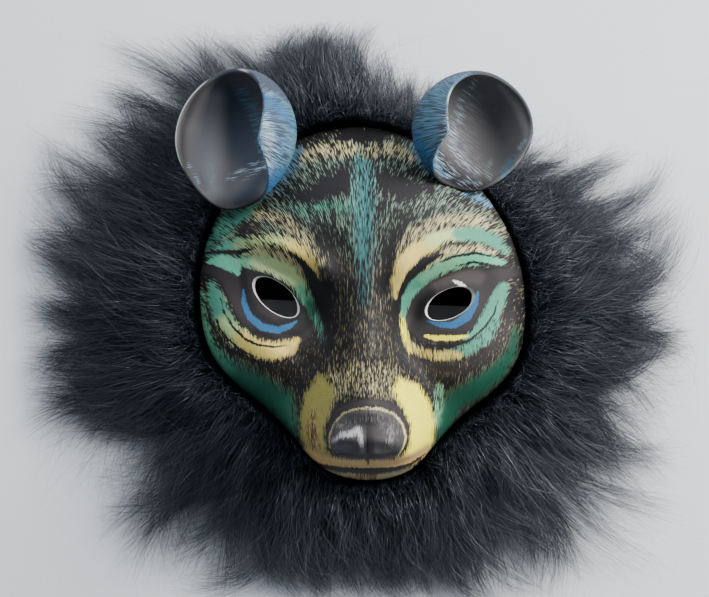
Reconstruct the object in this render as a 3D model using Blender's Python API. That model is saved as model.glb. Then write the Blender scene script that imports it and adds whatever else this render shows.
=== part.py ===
"""Animal head mask for costume wear: a pressed foam face shell with two cupped ears and a deep fur mane.

The mask lies on its back, face up. Run with: blender --background --python part.py
Frame: +Z out of the face, +Y towards the ears, +X to the right of the picture, origin under the middle of the whole.
"""

import math

import bpy
import numpy as np
from mathutils import Vector

MM = 0.001

# The face shell, in millimetres. Its own frame is (u, v): u across, v towards the ears, from between the eyes.
FACE_X = 2.35
FACE_Y = 7.495
SKEW_Y_PER_U = -0.033
SKEW_X_PER_V = -0.018
SHELL_WALL = 2.5
RIM_Z = 3.0
SKIRT = 2.0
FACE_HEIGHT = 46.0
FACE_ROUND = 0.58
FACE_RINGS = 21
# The spokes stand closer together around the muzzle.
CHIN_HALF_DEG = 33.0
CHIN_SPOKES = 23
REST_SPOKES = 37
FACE_SPOKES = CHIN_SPOKES + REST_SPOKES
# Rim radius of the shell by angle from the chin, the same on both sides.
FACE_RIM = (
    # angle_deg, radius
    (0, 93.5),
    (14, 91.0),
    (26, 83.0),
    (36, 79.0),
    (45, 78.5),
    (55, 81.5),
    (68, 85.5),
    (90, 86.0),
    (120, 87.0),
    (150, 89.0),
    (180, 92.0),
)

# Soft swellings and dents of the face plateau. A pair of them stands where mirrored is 1.
FACE_FORMS = (
    # name, u, v, half_u, half_v, turn_deg, power, height, mirrored
    ("forehead", 0.0, 48.0, 56.0, 32.0, 0.0, 1.3, 12.0, 0),
    ("forehead_groove", 0.0, 58.0, 5.0, 26.0, 0.0, 1.0, -2.0, 0),
    ("temple_dent", 66.0, 34.0, 16.0, 12.0, 30.0, 1.0, -4.0, 1),
    ("brow", 41.0, 24.0, 29.0, 8.0, 22.0, 1.1, 6.0, 1),
    ("brow_root", 19.0, 13.0, 7.0, 15.0, -14.0, 1.0, 4.0, 1),
    ("eye_socket", 43.0, 2.0, 25.0, 16.0, 30.0, 1.4, -9.0, 1),
    ("eyelid", 44.0, 1.0, 18.0, 12.0, 33.0, 1.7, 5.0, 1),
    ("tear_dent", 22.0, -8.0, 8.0, 14.0, -20.0, 1.0, -5.0, 1),
    ("cheek", 57.0, -27.0, 25.0, 18.0, 35.0, 1.3, 9.0, 1),
    ("bridge", 0.0, -10.0, 13.0, 36.0, 0.0, 1.2, 8.0, 0),
    ("snout_slope", 0.0, -32.0, 19.0, 20.0, 0.0, 1.2, 9.0, 0),
    ("muzzle", 0.0, -65.0, 34.5, 32.0, 0.0, 2.8, 41.0, 0),
    ("muzzle_front", 0.0, -74.0, 28.0, 13.0, 0.0, 1.8, 15.0, 0),
    ("muzzle_jowl", 25.0, -69.0, 12.0, 17.0, -14.0, 1.3, 7.0, 1),
    ("nose", 0.0, -62.0, 19.5, 13.5, 0.0, 3.0, 9.0, 0),
    ("nose_groove", 0.0, -69.0, 2.6, 9.0, 0.0, 1.2, -2.5, 0),
    ("nostril", 9.5, -70.0, 6.5, 3.0, -14.0, 1.2, -4.0, 1),
)
MOUTH_V = -80.0
MOUTH_RISE = 5.5
MOUTH_HALF = 30.0
MOUTH_WIDTH = 2.6
MOUTH_DEPTH = 6.0

EYES = (
    # side, u, v, half_long, half_short, tilt_deg
    ("left", -44.0, 0.6, 14.0, 7.4, -38.0),
    ("right", 44.0, 0.2, 13.8, 7.2, 27.0),
)
EYE_SIDES = 24

# The ears: half-ellipsoid cups. curl is the cup's polar angle at its rim, over 90 where the wall leans back over itself.
# At the foot, where the cup runs out on the head, the rim is lower.
EAR_WALL = 2.0
EAR_RINGS = 7
EAR_SPOKES = 24
EAR_FOOT_CURL = 62.0
EAR_FOOT_FROM = 0.15
EARS = (
    # node, u, v, z, half_across, half_long, depth, lean_deg, roll_deg, pitch_deg, curl_inner, curl_outer
    ("ear_left", -62.8, 81.0, 49.5, 31.5, 37.5, 23.0, -11.0, -13.0, -4.0, 142.0, 88.0),
    ("ear_right", 57.0, 88.5, 48.5, 31.3, 31.8, 24.0, 5.0, 10.0, 0.0, 143.0, 89.0),
)
EAR_CLEAR = 0.5

# The fur: a cloth backing with the pile fused to it. reach is how far its solid locks come from the face's middle.
BACKING = 2.6
LIP = 10.0
FUR_CLEAR = 0.8
TIP_THICK = 2.0
FUR_REACH = (
    # angle_deg, reach, crest
    (-178, 181, 28),
    (-170, 170, 29),
    (-158, 175, 31),
    (-143, 144, 32),
    (-134, 163, 33),
    (-122, 149, 33),
    (-108, 165, 33),
    (-92, 153, 31),
    (-80, 155, 31),
    (-68, 171, 33),
    (-58, 156, 33),
    (-47, 176, 34),
    (-38, 146, 32),
    (-31, 156, 32),
    (-20, 146, 30),
    (-4, 168, 28),
    (10, 149, 25),
    (22, 145, 19),
    (33, 122, 15),
    (55, 117, 14),
    (72, 119, 17),
    (84, 120, 21),
    (92, 138, 31),
    (104, 141, 31),
    (113, 129, 16),
    (126, 147, 15),
    (144, 141, 15),
    (156, 153, 20),
    (168, 165, 25),
)
# node, first and last angle, locks in the lower tier, locks in the upper tier
FUR_SECTORS = (
    ("mane", 112.5, 427.5, 30, 21),
    ("crown_tuft", 68.0, 112.0, 6, 3),
)
FUR_TIERS = (
    # tier, reach_share, crest_share, floor_z, notch, inner_step
    ("lower", 1.00, 0.72, 0.0, 0.22, 0.0),
    ("upper", 0.74, 1.00, 1.2, 0.28, 1.1),
)
LOCK_STEPS = 4
LOCK_UNEVEN = 0.12
LOCK_BEND = 3.2
FUR_RINGS = 4

STRAP_WIDTH = 20.0
STRAP_THICK = 1.2
STRAP_V = 9.0
STRAP_END_U = 79.6
STRAP_END_Z = 20.0
STRAP_FLAT_U = 55.0
STRAP_BEND = 6.0
STRAP_LOW = 4.2


def rim_radius(theta):
    """Radius of the shell's rim at an angle from +u, by a smooth curve through FACE_RIM."""
    from_chin = np.abs((np.degrees(theta) + 90 + 180) % 360 - 180)
    return smooth_table(from_chin, [(r[0], r[1]) for r in FACE_RIM], mirrored=True)


def smooth_table(x, rows, mirrored=False, period=None):
    """Cubic curve through rows of (x, y). The ends are mirrored, or repeat after a period."""
    xs = np.array([r[0] for r in rows], float)
    ys = np.array([r[1] for r in rows], float)
    if mirrored:
        xs = np.concatenate([-xs[2:0:-1], xs, 2 * xs[-1] - xs[-2:-4:-1]])
        ys = np.concatenate([ys[2:0:-1], ys, ys[-2:-4:-1]])
    if period:
        xs = np.concatenate([xs[-3:] - period, xs, xs[:3] + period])
        ys = np.concatenate([ys[-3:], ys, ys[:3]])
    slopes = np.gradient(ys, xs)
    i = np.clip(np.searchsorted(xs, x) - 1, 0, len(xs) - 2)
    width = xs[i + 1] - xs[i]
    t = np.clip((x - xs[i]) / width, 0, 1)
    return (
        ys[i] * (1 + 2 * t) * (1 - t) ** 2
        + slopes[i] * width * t * (1 - t) ** 2
        + ys[i + 1] * t * t * (3 - 2 * t)
        + slopes[i + 1] * width * t * t * (t - 1)
    )


def form(u, v, centre_u, centre_v, half_u, half_v, turn_deg, power):
    """A rounded bump of height 1 on a turned ellipse: exp of minus the ellipse's distance to a power."""
    turn = math.radians(turn_deg)
    du, dv = u - centre_u, v - centre_v
    along = (du * math.cos(turn) + dv * math.sin(turn)) / half_u
    across = (-du * math.sin(turn) + dv * math.cos(turn)) / half_v
    return np.exp(-((along**2 + across**2) ** power))


def plateau(u, v):
    """Height of the face over its rim before the edge rounds it off."""
    z = np.full(np.shape(u), FACE_HEIGHT)
    for _, cu, cv, half_u, half_v, turn, power, height, mirrored in FACE_FORMS:
        z = z + height * form(u, v, cu, cv, half_u, half_v, turn, power)
        if mirrored:
            z = z + height * form(u, v, -cu, cv, half_u, half_v, -turn, power)
    mouth_line = MOUTH_V + MOUTH_RISE * (u / MOUTH_HALF) ** 2
    fade = np.exp(-((u / MOUTH_HALF) ** 6))
    return z - MOUTH_DEPTH * fade * np.exp(-(((v - mouth_line) / MOUTH_WIDTH) ** 2))


def skewed(u, v, z):
    """Points of the face's own frame in the part's frame, in metres."""
    x = FACE_X + u + SKEW_X_PER_V * v
    y = FACE_Y + v + SKEW_Y_PER_U * u
    return np.stack(np.broadcast_arrays(x, y, z), axis=-1) * MM


def face_grid():
    """Rings of points from the middle of the face down to its rim, the last ring being a short upright skirt."""
    share = np.linspace(0, 1, FACE_RINGS + 1)[1:]
    chin = np.linspace(-CHIN_HALF_DEG, CHIN_HALF_DEG, CHIN_SPOKES)
    rest = np.linspace(CHIN_HALF_DEG, 360 - CHIN_HALF_DEG, REST_SPOKES + 2)[1:-1]
    theta = np.radians(np.concatenate([chin, rest]) - 90)
    s, a = np.meshgrid(share, theta, indexing="ij")
    radius = rim_radius(a) * np.sin(s * math.pi / 2)
    u, v = radius * np.cos(a), radius * np.sin(a)
    edge = np.cos(s * math.pi / 2).clip(0) ** FACE_ROUND
    z = RIM_Z + SKIRT + edge * plateau(u, v)
    u, v = np.vstack([u, u[-1:]]), np.vstack([v, v[-1:]])
    z = np.vstack([z, np.full((1, FACE_SPOKES), RIM_Z)])
    top = skewed(0.0, 0.0, RIM_Z + SKIRT + plateau(np.array(0.0), np.array(0.0)))
    return skewed(u, v, z), top


def ring_faces(rings, spokes, closed=True, first=0):
    """Quads between rings of points, numbered ring by ring from first."""
    last = spokes if closed else spokes - 1
    return [
        (
            first + i * spokes + j,
            first + (i + 1) * spokes + j,
            first + (i + 1) * spokes + (j + 1) % spokes,
            first + i * spokes + (j + 1) % spokes,
        )
        for i in range(rings - 1)
        for j in range(last)
    ]


def new_object(name, points, faces):
    """An object with a fresh mesh of these points and faces, its normals set outwards by their order."""
    mesh = bpy.data.meshes.new(name)
    mesh.from_pydata([tuple(p) for p in points], [], faces)
    mesh.update()
    obj = bpy.data.objects.new(name, mesh)
    bpy.context.scene.collection.objects.link(obj)
    return obj


def face_surface(name):
    """The outer skin of the face as an open mesh."""
    grid, top = face_grid()
    rings, spokes = grid.shape[:2]
    points = np.vstack([top[None], grid.reshape(-1, 3)])
    fan = [(0, 1 + j, 1 + (j + 1) % spokes) for j in range(spokes)]
    return new_object(name, points, fan + ring_faces(rings, spokes, first=1))


def face_plug():
    """A closed block a little larger than the face, to trim what is fixed against it."""
    plug = face_surface("face_plug")
    mesh = plug.data
    moved = [v.co + v.normal * EAR_CLEAR * MM for v in mesh.vertices]
    for vertex, place in zip(mesh.vertices, moved):
        vertex.co = place
    count = len(mesh.vertices)
    points = [tuple(v.co) for v in mesh.vertices]
    lowest = list(range(count - FACE_SPOKES, count))
    points += [(points[i][0], points[i][1], -5 * MM) for i in lowest]
    faces = [tuple(p.vertices) for p in mesh.polygons]
    step = range(FACE_SPOKES)
    faces += [
        (lowest[j], count + j, count + (j + 1) % FACE_SPOKES, lowest[(j + 1) % FACE_SPOKES]) for j in step
    ]
    faces.append(tuple(count + j for j in reversed(step)))
    bpy.data.objects.remove(plug)
    return as_cutter(new_object("face_plug", points, faces))


def as_cutter(obj):
    """Marks an object as a tool that is not part of the mask."""
    obj.hide_render = True
    obj.display_type = "WIRE"
    return obj


def add_boolean(obj, operation, other):
    """Adds an exact Boolean with another object."""
    modifier = obj.modifiers.new(operation.title(), "BOOLEAN")
    modifier.operation = operation
    modifier.solver = "EXACT"
    modifier.object = other


def add_wall(obj, thickness):
    """Gives a skin its wall, growing inwards."""
    modifier = obj.modifiers.new("Wall", "SOLIDIFY")
    modifier.thickness = thickness * MM
    modifier.offset = -1.0
    modifier.use_even_offset = False
    modifier.use_quality_normals = True


def eye_cutter(row):
    """An upright oval post that cuts one eye hole through the shell."""
    side, centre_u, centre_v, half_long, half_short, tilt_deg = row
    angle = np.arange(EYE_SIDES) * 2 * math.pi / EYE_SIDES
    tilt = math.radians(tilt_deg)
    along, across = half_long * np.cos(angle), half_short * np.sin(angle)
    u = centre_u + along * math.cos(tilt) - across * math.sin(tilt)
    v = centre_v + along * math.sin(tilt) + across * math.cos(tilt)
    low, high = skewed(u, v, 15.0), skewed(u, v, 100.0)
    faces = [tuple(reversed(f)) for f in ring_faces(2, EYE_SIDES)]
    faces += [tuple(reversed(range(EYE_SIDES))), tuple(range(EYE_SIDES, 2 * EYE_SIDES))]
    return as_cutter(new_object("eye_cutter_" + side, np.vstack([low, high]), faces))


def build_face_shell():
    """The pressed foam face: brows, sockets, cheeks, muzzle and nose in one wall, with two eye holes."""
    shell = face_surface("face_shell")
    add_wall(shell, SHELL_WALL)
    for row in EYES:
        add_boolean(shell, "DIFFERENCE", eye_cutter(row))
    return shell


def build_ear(row, plug):
    """One cupped ear: an ellipsoid bowl whose inner wall curls back over the cup, trimmed to the head."""
    name, u, v, z, half_across, half_long, depth, lean, roll, pitch, curl_inner, curl_outer = row
    side = math.copysign(1, u)
    share = np.linspace(0, 1, EAR_RINGS + 1)[1:]
    angle = np.arange(EAR_SPOKES) * 2 * math.pi / EAR_SPOKES
    s, a = np.meshgrid(share, angle, indexing="ij")
    outward = side * np.cos(a)
    mix = 0.5 - 0.5 * outward
    curl = curl_outer + (curl_inner - curl_outer) * mix**1.5
    foot = np.clip((-np.sin(a) - EAR_FOOT_FROM) / (1 - EAR_FOOT_FROM), 0, 1)
    curl += (EAR_FOOT_CURL - curl) * foot * foot * (3 - 2 * foot)
    polar = np.radians(s * curl)
    across = half_across * np.sin(polar) * np.cos(a)
    long = half_long * np.sin(polar) * np.sin(a) * (1 - 0.10 * np.sin(a))
    across = across * (1 - 0.14 * (long / half_long) ** 2)
    high = -depth * np.cos(polar)
    local = np.stack([across, long, high], axis=-1).reshape(-1, 3)
    local = np.vstack([[[0, 0, -depth]], local])
    turned = turn(local, (pitch, roll, lean))
    place = skewed(u, v, z)
    points = turned * MM + place
    fan = [(0, 1 + (j + 1) % EAR_SPOKES, 1 + j) for j in range(EAR_SPOKES)]
    rows = [tuple(reversed(f)) for f in ring_faces(EAR_RINGS, EAR_SPOKES, first=1)]
    ear = new_object(name, points, fan + rows)
    add_wall(ear, EAR_WALL)
    add_boolean(ear, "DIFFERENCE", plug)
    return ear


def turn(points, degrees_xyz):
    """Points turned about X, then Y, then Z."""
    for axis, degrees in enumerate(degrees_xyz):
        c, s = math.cos(math.radians(degrees)), math.sin(math.radians(degrees))
        i, j = [(1, 2), (2, 0), (0, 1)][axis]
        turned = points.copy()
        turned[:, i] = points[:, i] * c - points[:, j] * s
        turned[:, j] = points[:, i] * s + points[:, j] * c
        points = turned
    return points


def fur_tier(name, sector, tier, count):
    """One tier of locks as a closed stretch of ring: flat underneath, ridged on top, notched outside."""
    _, first_deg, last_deg, *_ = sector
    _, reach_share, crest_share, floor_z, notch, inner_step = tier
    steps = count * LOCK_STEPS
    inset = 0.15 if inner_step else 0.0
    theta = np.radians(np.linspace(first_deg + inset, last_deg - inset, steps + 1))
    lock = np.arange(steps + 1) / LOCK_STEPS
    ridge = 0.5 - 0.5 * np.cos(2 * math.pi * lock)
    number = np.floor(lock) + (17 if inner_step else 0)
    uneven = 0.5 + 0.5 * np.sin(2.4 * number)
    bend = np.radians(LOCK_BEND) * np.sin(1.7 * number + 0.6) * ridge
    wrapped = (np.degrees(theta) + 180) % 360 - 180
    reach = smooth_table(wrapped, [(r[0], r[1]) for r in FUR_REACH], period=360)
    crest = smooth_table(wrapped, [(r[0], r[2]) for r in FUR_REACH], period=360) * crest_share
    inner = rim_radius(theta) + FUR_CLEAR + inner_step
    length = (reach - inner) * reach_share * (1 - notch * (1 - ridge) - LOCK_UNEVEN * uneven * ridge)
    out, _ = np.meshgrid(np.linspace(0, 1, FUR_RINGS), theta, indexing="ij")
    radius = inner + length * out
    valley = 1 - 0.32 * (1 - ridge) * np.sin(out * math.pi / 2)
    height = crest * (0.80 + 0.55 * out) * (1 - out**1.7) * valley
    angle = theta + bend * out**2
    top = skewed(radius * np.cos(angle), radius * np.sin(angle), np.maximum(height, TIP_THICK) + floor_z)
    under = top[[-1, 0]].copy()
    under[..., 2] = floor_z * MM
    loops = [top, under]
    if not inner_step:
        lip = rim_radius(theta) - LIP
        heel = np.stack([lip, lip, inner])
        heel_z = np.array([0.0, BACKING, BACKING])[:, None]
        loops = [top, under[:1], skewed(heel * np.cos(theta), heel * np.sin(theta), heel_z)]
    section = np.vstack(loops)
    rings, columns = section.shape[:2]
    faces = ring_faces(rings, columns, closed=False)
    last = (rings - 1) * columns
    faces += [(last + j, j, j + 1, last + j + 1) for j in range(columns - 1)]
    faces.append(tuple(i * columns for i in reversed(range(rings))))
    faces.append(tuple(i * columns + columns - 1 for i in range(rings)))
    return new_object(name, section.reshape(-1, 3), faces)


def build_fur(sector):
    """A stretch of fur: both tiers of locks fused to the backing."""
    name, _, _, lower_count, upper_count = sector
    lower = fur_tier(name, sector, FUR_TIERS[0], lower_count)
    upper = as_cutter(fur_tier(name + "_upper_tier", sector, FUR_TIERS[1], upper_count))
    add_boolean(lower, "UNION", upper)
    return lower


def strap_line():
    """The strap's middle line from the flat stretch out to one end, as (u, z) pairs."""
    half = STRAP_THICK / 2
    bend_u = STRAP_END_U - STRAP_BEND
    rise = [
        (STRAP_FLAT_U + (bend_u - STRAP_FLAT_U) * t, half + (STRAP_LOW - half) * t * t * (3 - 2 * t))
        for t in np.linspace(0, 1, 7)
    ]
    arc = [
        (bend_u + STRAP_BEND * math.sin(a), STRAP_LOW + STRAP_BEND * (1 - math.cos(a)))
        for a in np.linspace(0, math.pi / 2, 6)[1:]
    ]
    return rise + arc + [(STRAP_END_U, STRAP_END_Z)]


def build_strap():
    """The elastic band: stitched inside both temples, slack, lying on the ground between them."""
    half = strap_line()
    line = [(-u, z) for u, z in reversed(half)] + half
    points = np.array(line)
    direction = np.gradient(points, axis=0)
    direction /= np.linalg.norm(direction, axis=1)[:, None]
    normal = np.stack([-direction[:, 1], direction[:, 0]], axis=1) * STRAP_THICK / 2
    upper, lower = points + normal, points - normal
    low_v, high_v = STRAP_V - STRAP_WIDTH / 2, STRAP_V + STRAP_WIDTH / 2
    section = [
        skewed(side[:, 0], np.full(len(side), v), side[:, 1].clip(0))
        for side, v in ((upper, low_v), (upper, high_v), (lower, high_v), (lower, low_v))
    ]
    columns = len(points)
    faces = [tuple(reversed(f)) for f in ring_faces(4, columns, closed=False)]
    faces += [(j, 3 * columns + j, 3 * columns + j + 1, j + 1) for j in range(columns - 1)]
    faces.append((0, columns, 2 * columns, 3 * columns))
    faces.append(tuple(i * columns + columns - 1 for i in (3, 2, 1, 0)))
    return new_object("elastic_strap", np.vstack(section), faces)


def finish(obj, colour, roughness):
    """Smooth shading and one plain finish."""
    obj.data.shade_smooth()
    obj.data.set_sharp_from_angle(angle=math.radians(40))
    material = bpy.data.materials.new(obj.name + "_finish")
    material.use_nodes = True
    shader = material.node_tree.nodes["Principled BSDF"]
    shader.inputs["Base Color"].default_value = (*colour, 1.0)
    shader.inputs["Roughness"].default_value = roughness
    shader.inputs["Metallic"].default_value = 0.0
    obj.data.materials.append(material)


def main():
    """Clears the scene and builds every piece of the mask."""
    for obj in list(bpy.data.objects):
        bpy.data.objects.remove(obj)
    plug = face_plug()
    finish(build_face_shell(), (0.10, 0.25, 0.20), 0.6)
    for row in EARS:
        finish(build_ear(row, plug), (0.09, 0.10, 0.11), 0.7)
    for sector in FUR_SECTORS:
        finish(build_fur(sector), (0.012, 0.014, 0.02), 0.6)
    finish(build_strap(), (0.01, 0.01, 0.01), 0.7)


main()
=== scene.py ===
"""Looks of a soft animal face mask: printed knit over foam, cupped ears and a ring of long dark fur."""

import logging
import math
from dataclasses import dataclass, field
from enum import Enum
from typing import Sequence

import bpy
import numpy as np
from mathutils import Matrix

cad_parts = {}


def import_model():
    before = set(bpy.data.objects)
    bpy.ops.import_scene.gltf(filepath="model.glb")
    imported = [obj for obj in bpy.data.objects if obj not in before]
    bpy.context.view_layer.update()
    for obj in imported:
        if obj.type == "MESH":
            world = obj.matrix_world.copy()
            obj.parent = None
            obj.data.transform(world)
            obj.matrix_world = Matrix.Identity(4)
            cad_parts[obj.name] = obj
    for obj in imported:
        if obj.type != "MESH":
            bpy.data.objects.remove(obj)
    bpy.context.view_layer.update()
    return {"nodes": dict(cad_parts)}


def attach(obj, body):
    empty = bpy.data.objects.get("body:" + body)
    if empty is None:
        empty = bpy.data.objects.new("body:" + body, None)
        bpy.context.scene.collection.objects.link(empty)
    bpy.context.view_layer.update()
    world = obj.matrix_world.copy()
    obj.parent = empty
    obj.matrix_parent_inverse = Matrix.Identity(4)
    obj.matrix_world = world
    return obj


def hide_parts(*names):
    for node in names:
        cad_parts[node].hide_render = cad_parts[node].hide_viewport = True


# a millimetre in metres, and the least length that anything is divided by
MM = 0.001
TINY = 1e-9
LOG = logging.getLogger("mask")

Array = np.ndarray
Rows = Sequence[Sequence[float]]
Span = tuple[float, float]
Wave = tuple[float, float, float]
Colour = tuple[float, float, float, float]
Piece = bpy.types.Object
Material = bpy.types.Material
Node = bpy.types.Node
Socket = bpy.types.NodeSocket
NodeTree = bpy.types.NodeTree


class Side(Enum):
    """The side of the face that a paired thing is on, as seen from the front."""

    LEFT = -1
    RIGHT = 1


class Ink(Enum):
    """The print's inks, as display colours from 0 to 255."""

    BLACK = (30, 28, 30)
    UMBER = (50, 45, 46)
    TAUPE = (70, 63, 63)
    DUN = (168, 156, 118)
    CREAM = (212, 198, 146)
    SAND = (192, 158, 102)
    YELLOW = (222, 198, 108)
    LEMON = (255, 244, 64)
    # the muzzle's yellow darkened as painted shade, for its side away from the light
    OLIVE = (150, 142, 76)
    PISTACHIO = (212, 232, 166)
    LIME = (196, 214, 142)
    FERN = (120, 188, 146)
    TEAL = (80, 150, 126)
    SAGE = (138, 164, 142)
    MINT = (98, 184, 150)
    SEA = (74, 132, 130)
    STEEL = (86, 130, 154)
    PINE = (24, 80, 62)
    MOSS = (92, 168, 134)
    JADE = (50, 112, 88)
    BLUE = (44, 106, 156)
    DENIM = (44, 96, 136)
    SKY = (106, 164, 200)
    FROST = (176, 200, 212)
    STONE = (136, 133, 132)
    PEARL = (176, 174, 176)
    ASH = (104, 101, 102)
    SLATE = (68, 65, 65)
    NIGHT = (60, 68, 82)
    WHITE = (236, 234, 228)

    def linear(self) -> Array:
        """The ink's colour as linear light from 0 to 1."""
        share = np.array(self.value) / 255.0
        return np.where(share <= 0.04045, share / 12.92, ((share + 0.055) / 1.055) ** 2.4)


def smooth_step(low: float, high: float, x: Array) -> Array:
    """A soft step from 0 at low to 1 at high, along 3t squared less 2t cubed."""
    t = np.clip((x - low) / (high - low), 0.0, 1.0)
    return t * t * (3.0 - 2.0 * t)


def smooth_table(x: Array, rows: Rows, column: int = 1, mirrored: bool = False, period: float = 0.0) -> Array:
    """Reads a smooth cubic curve through a table's rows.

    Args:
        x: Places along the table's first column.
        rows: The table.
        column: The column to read.
        mirrored: True where the curve is even about both of its ends.
        period: The length after which the curve repeats, or 0.

    Returns:
        The curve's values, by Hermite pieces whose slopes are the rows' central differences.
    """
    xs = np.array([row[0] for row in rows], float)
    ys = np.array([row[column] for row in rows], float)
    if mirrored:
        xs = np.concatenate([-xs[2:0:-1], xs, 2 * xs[-1] - xs[-2:-4:-1]])
        ys = np.concatenate([ys[2:0:-1], ys, ys[-2:-4:-1]])
    if period:
        xs = np.concatenate([xs[-3:] - period, xs, xs[:3] + period])
        ys = np.concatenate([ys[-3:], ys, ys[:3]])
    slopes = np.gradient(ys, xs)
    i = np.clip(np.searchsorted(xs, x) - 1, 0, len(xs) - 2)
    width = xs[i + 1] - xs[i]
    t = np.clip((x - xs[i]) / width, 0, 1)
    return (
        ys[i] * (1 + 2 * t) * (1 - t) ** 2
        + slopes[i] * width * t * (1 - t) ** 2
        + ys[i + 1] * t * t * (3 - 2 * t)
        + slopes[i + 1] * width * t * t * (t - 1)
    )


def grid_faces(rows: int, columns: int, closed: bool = False, first: int = 0, flip: bool = False) -> Array:
    """Quads of a grid of points numbered row by row.

    Args:
        rows: How many rows of points.
        columns: How many points in a row.
        closed: True where each row is a loop.
        first: The number of the first point.
        flip: True to turn every quad over.

    Returns:
        The corner numbers, four to a quad.
    """
    i = np.arange(rows - 1)[:, None]
    j = np.arange(columns if closed else columns - 1)[None, :]
    k = (j + 1) % columns
    corners = [i * columns + j, i * columns + k, (i + 1) * columns + k, (i + 1) * columns + j]
    quads = np.stack(np.broadcast_arrays(*corners), axis=-1).reshape(-1, 4) + first
    return quads[:, ::-1] if flip else quads


def make_piece(name: str, points: Array, quads: Array, tris: Array | None = None) -> Piece:
    """Makes an object at the origin from arrays of points and faces.

    Args:
        name: The piece's name.
        points: Places in metres, one row each.
        quads: Corner numbers of the four-sided faces.
        tris: Corner numbers of the three-sided faces, if any.

    Returns:
        The new smooth-shaded object.
    """
    tris = np.zeros((0, 3), int) if tris is None else tris
    loops = np.concatenate([quads.ravel(), tris.ravel()]).astype(np.int32)
    sizes = np.concatenate([np.full(len(quads), 4), np.full(len(tris), 3)]).astype(np.int32)
    starts = np.concatenate([[0], np.cumsum(sizes)[:-1]]).astype(np.int32)
    mesh = bpy.data.meshes.new(name)
    mesh.vertices.add(len(points))
    mesh.vertices.foreach_set("co", np.ascontiguousarray(points, np.float32).ravel())
    mesh.loops.add(len(loops))
    mesh.loops.foreach_set("vertex_index", loops)
    mesh.polygons.add(len(sizes))
    mesh.polygons.foreach_set("loop_start", starts)
    mesh.polygons.foreach_set("loop_total", sizes)
    mesh.update(calc_edges=True)
    mesh.validate()
    mesh.shade_smooth()
    piece = bpy.data.objects.new(name, mesh)
    bpy.context.scene.collection.objects.link(piece)
    return piece


def put_number(piece: Piece, name: str, values: Array) -> None:
    """Stores one number for every point of a piece."""
    layer = piece.data.attributes.new(name, "FLOAT", "POINT")
    layer.data.foreach_set("value", np.ascontiguousarray(values, np.float32).ravel())


def put_vector(piece: Piece, name: str, values: Array) -> None:
    """Stores one vector for every point of a piece."""
    layer = piece.data.attributes.new(name, "FLOAT_VECTOR", "POINT")
    layer.data.foreach_set("vector", np.ascontiguousarray(values, np.float32).ravel())


def put_colour(piece: Piece, name: str, values: Array) -> None:
    """Stores one linear colour for every point of a piece."""
    layer = piece.data.color_attributes.new(name, "FLOAT_COLOR", "POINT")
    whole = np.concatenate([values, np.ones((len(values), 1))], axis=1)
    layer.data.foreach_set("color", np.ascontiguousarray(whole, np.float32).ravel())


def used_only(points: Array, quads: Array) -> tuple[Array, Array, Array]:
    """Drops the points that no face uses.

    Args:
        points: All points.
        quads: The faces that stay.

    Returns:
        The points that stay, the renumbered faces, and the old numbers of the points that stay.
    """
    kept, renumbered = np.unique(quads, return_inverse=True)
    return points[kept], renumbered.reshape(quads.shape), kept


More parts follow.
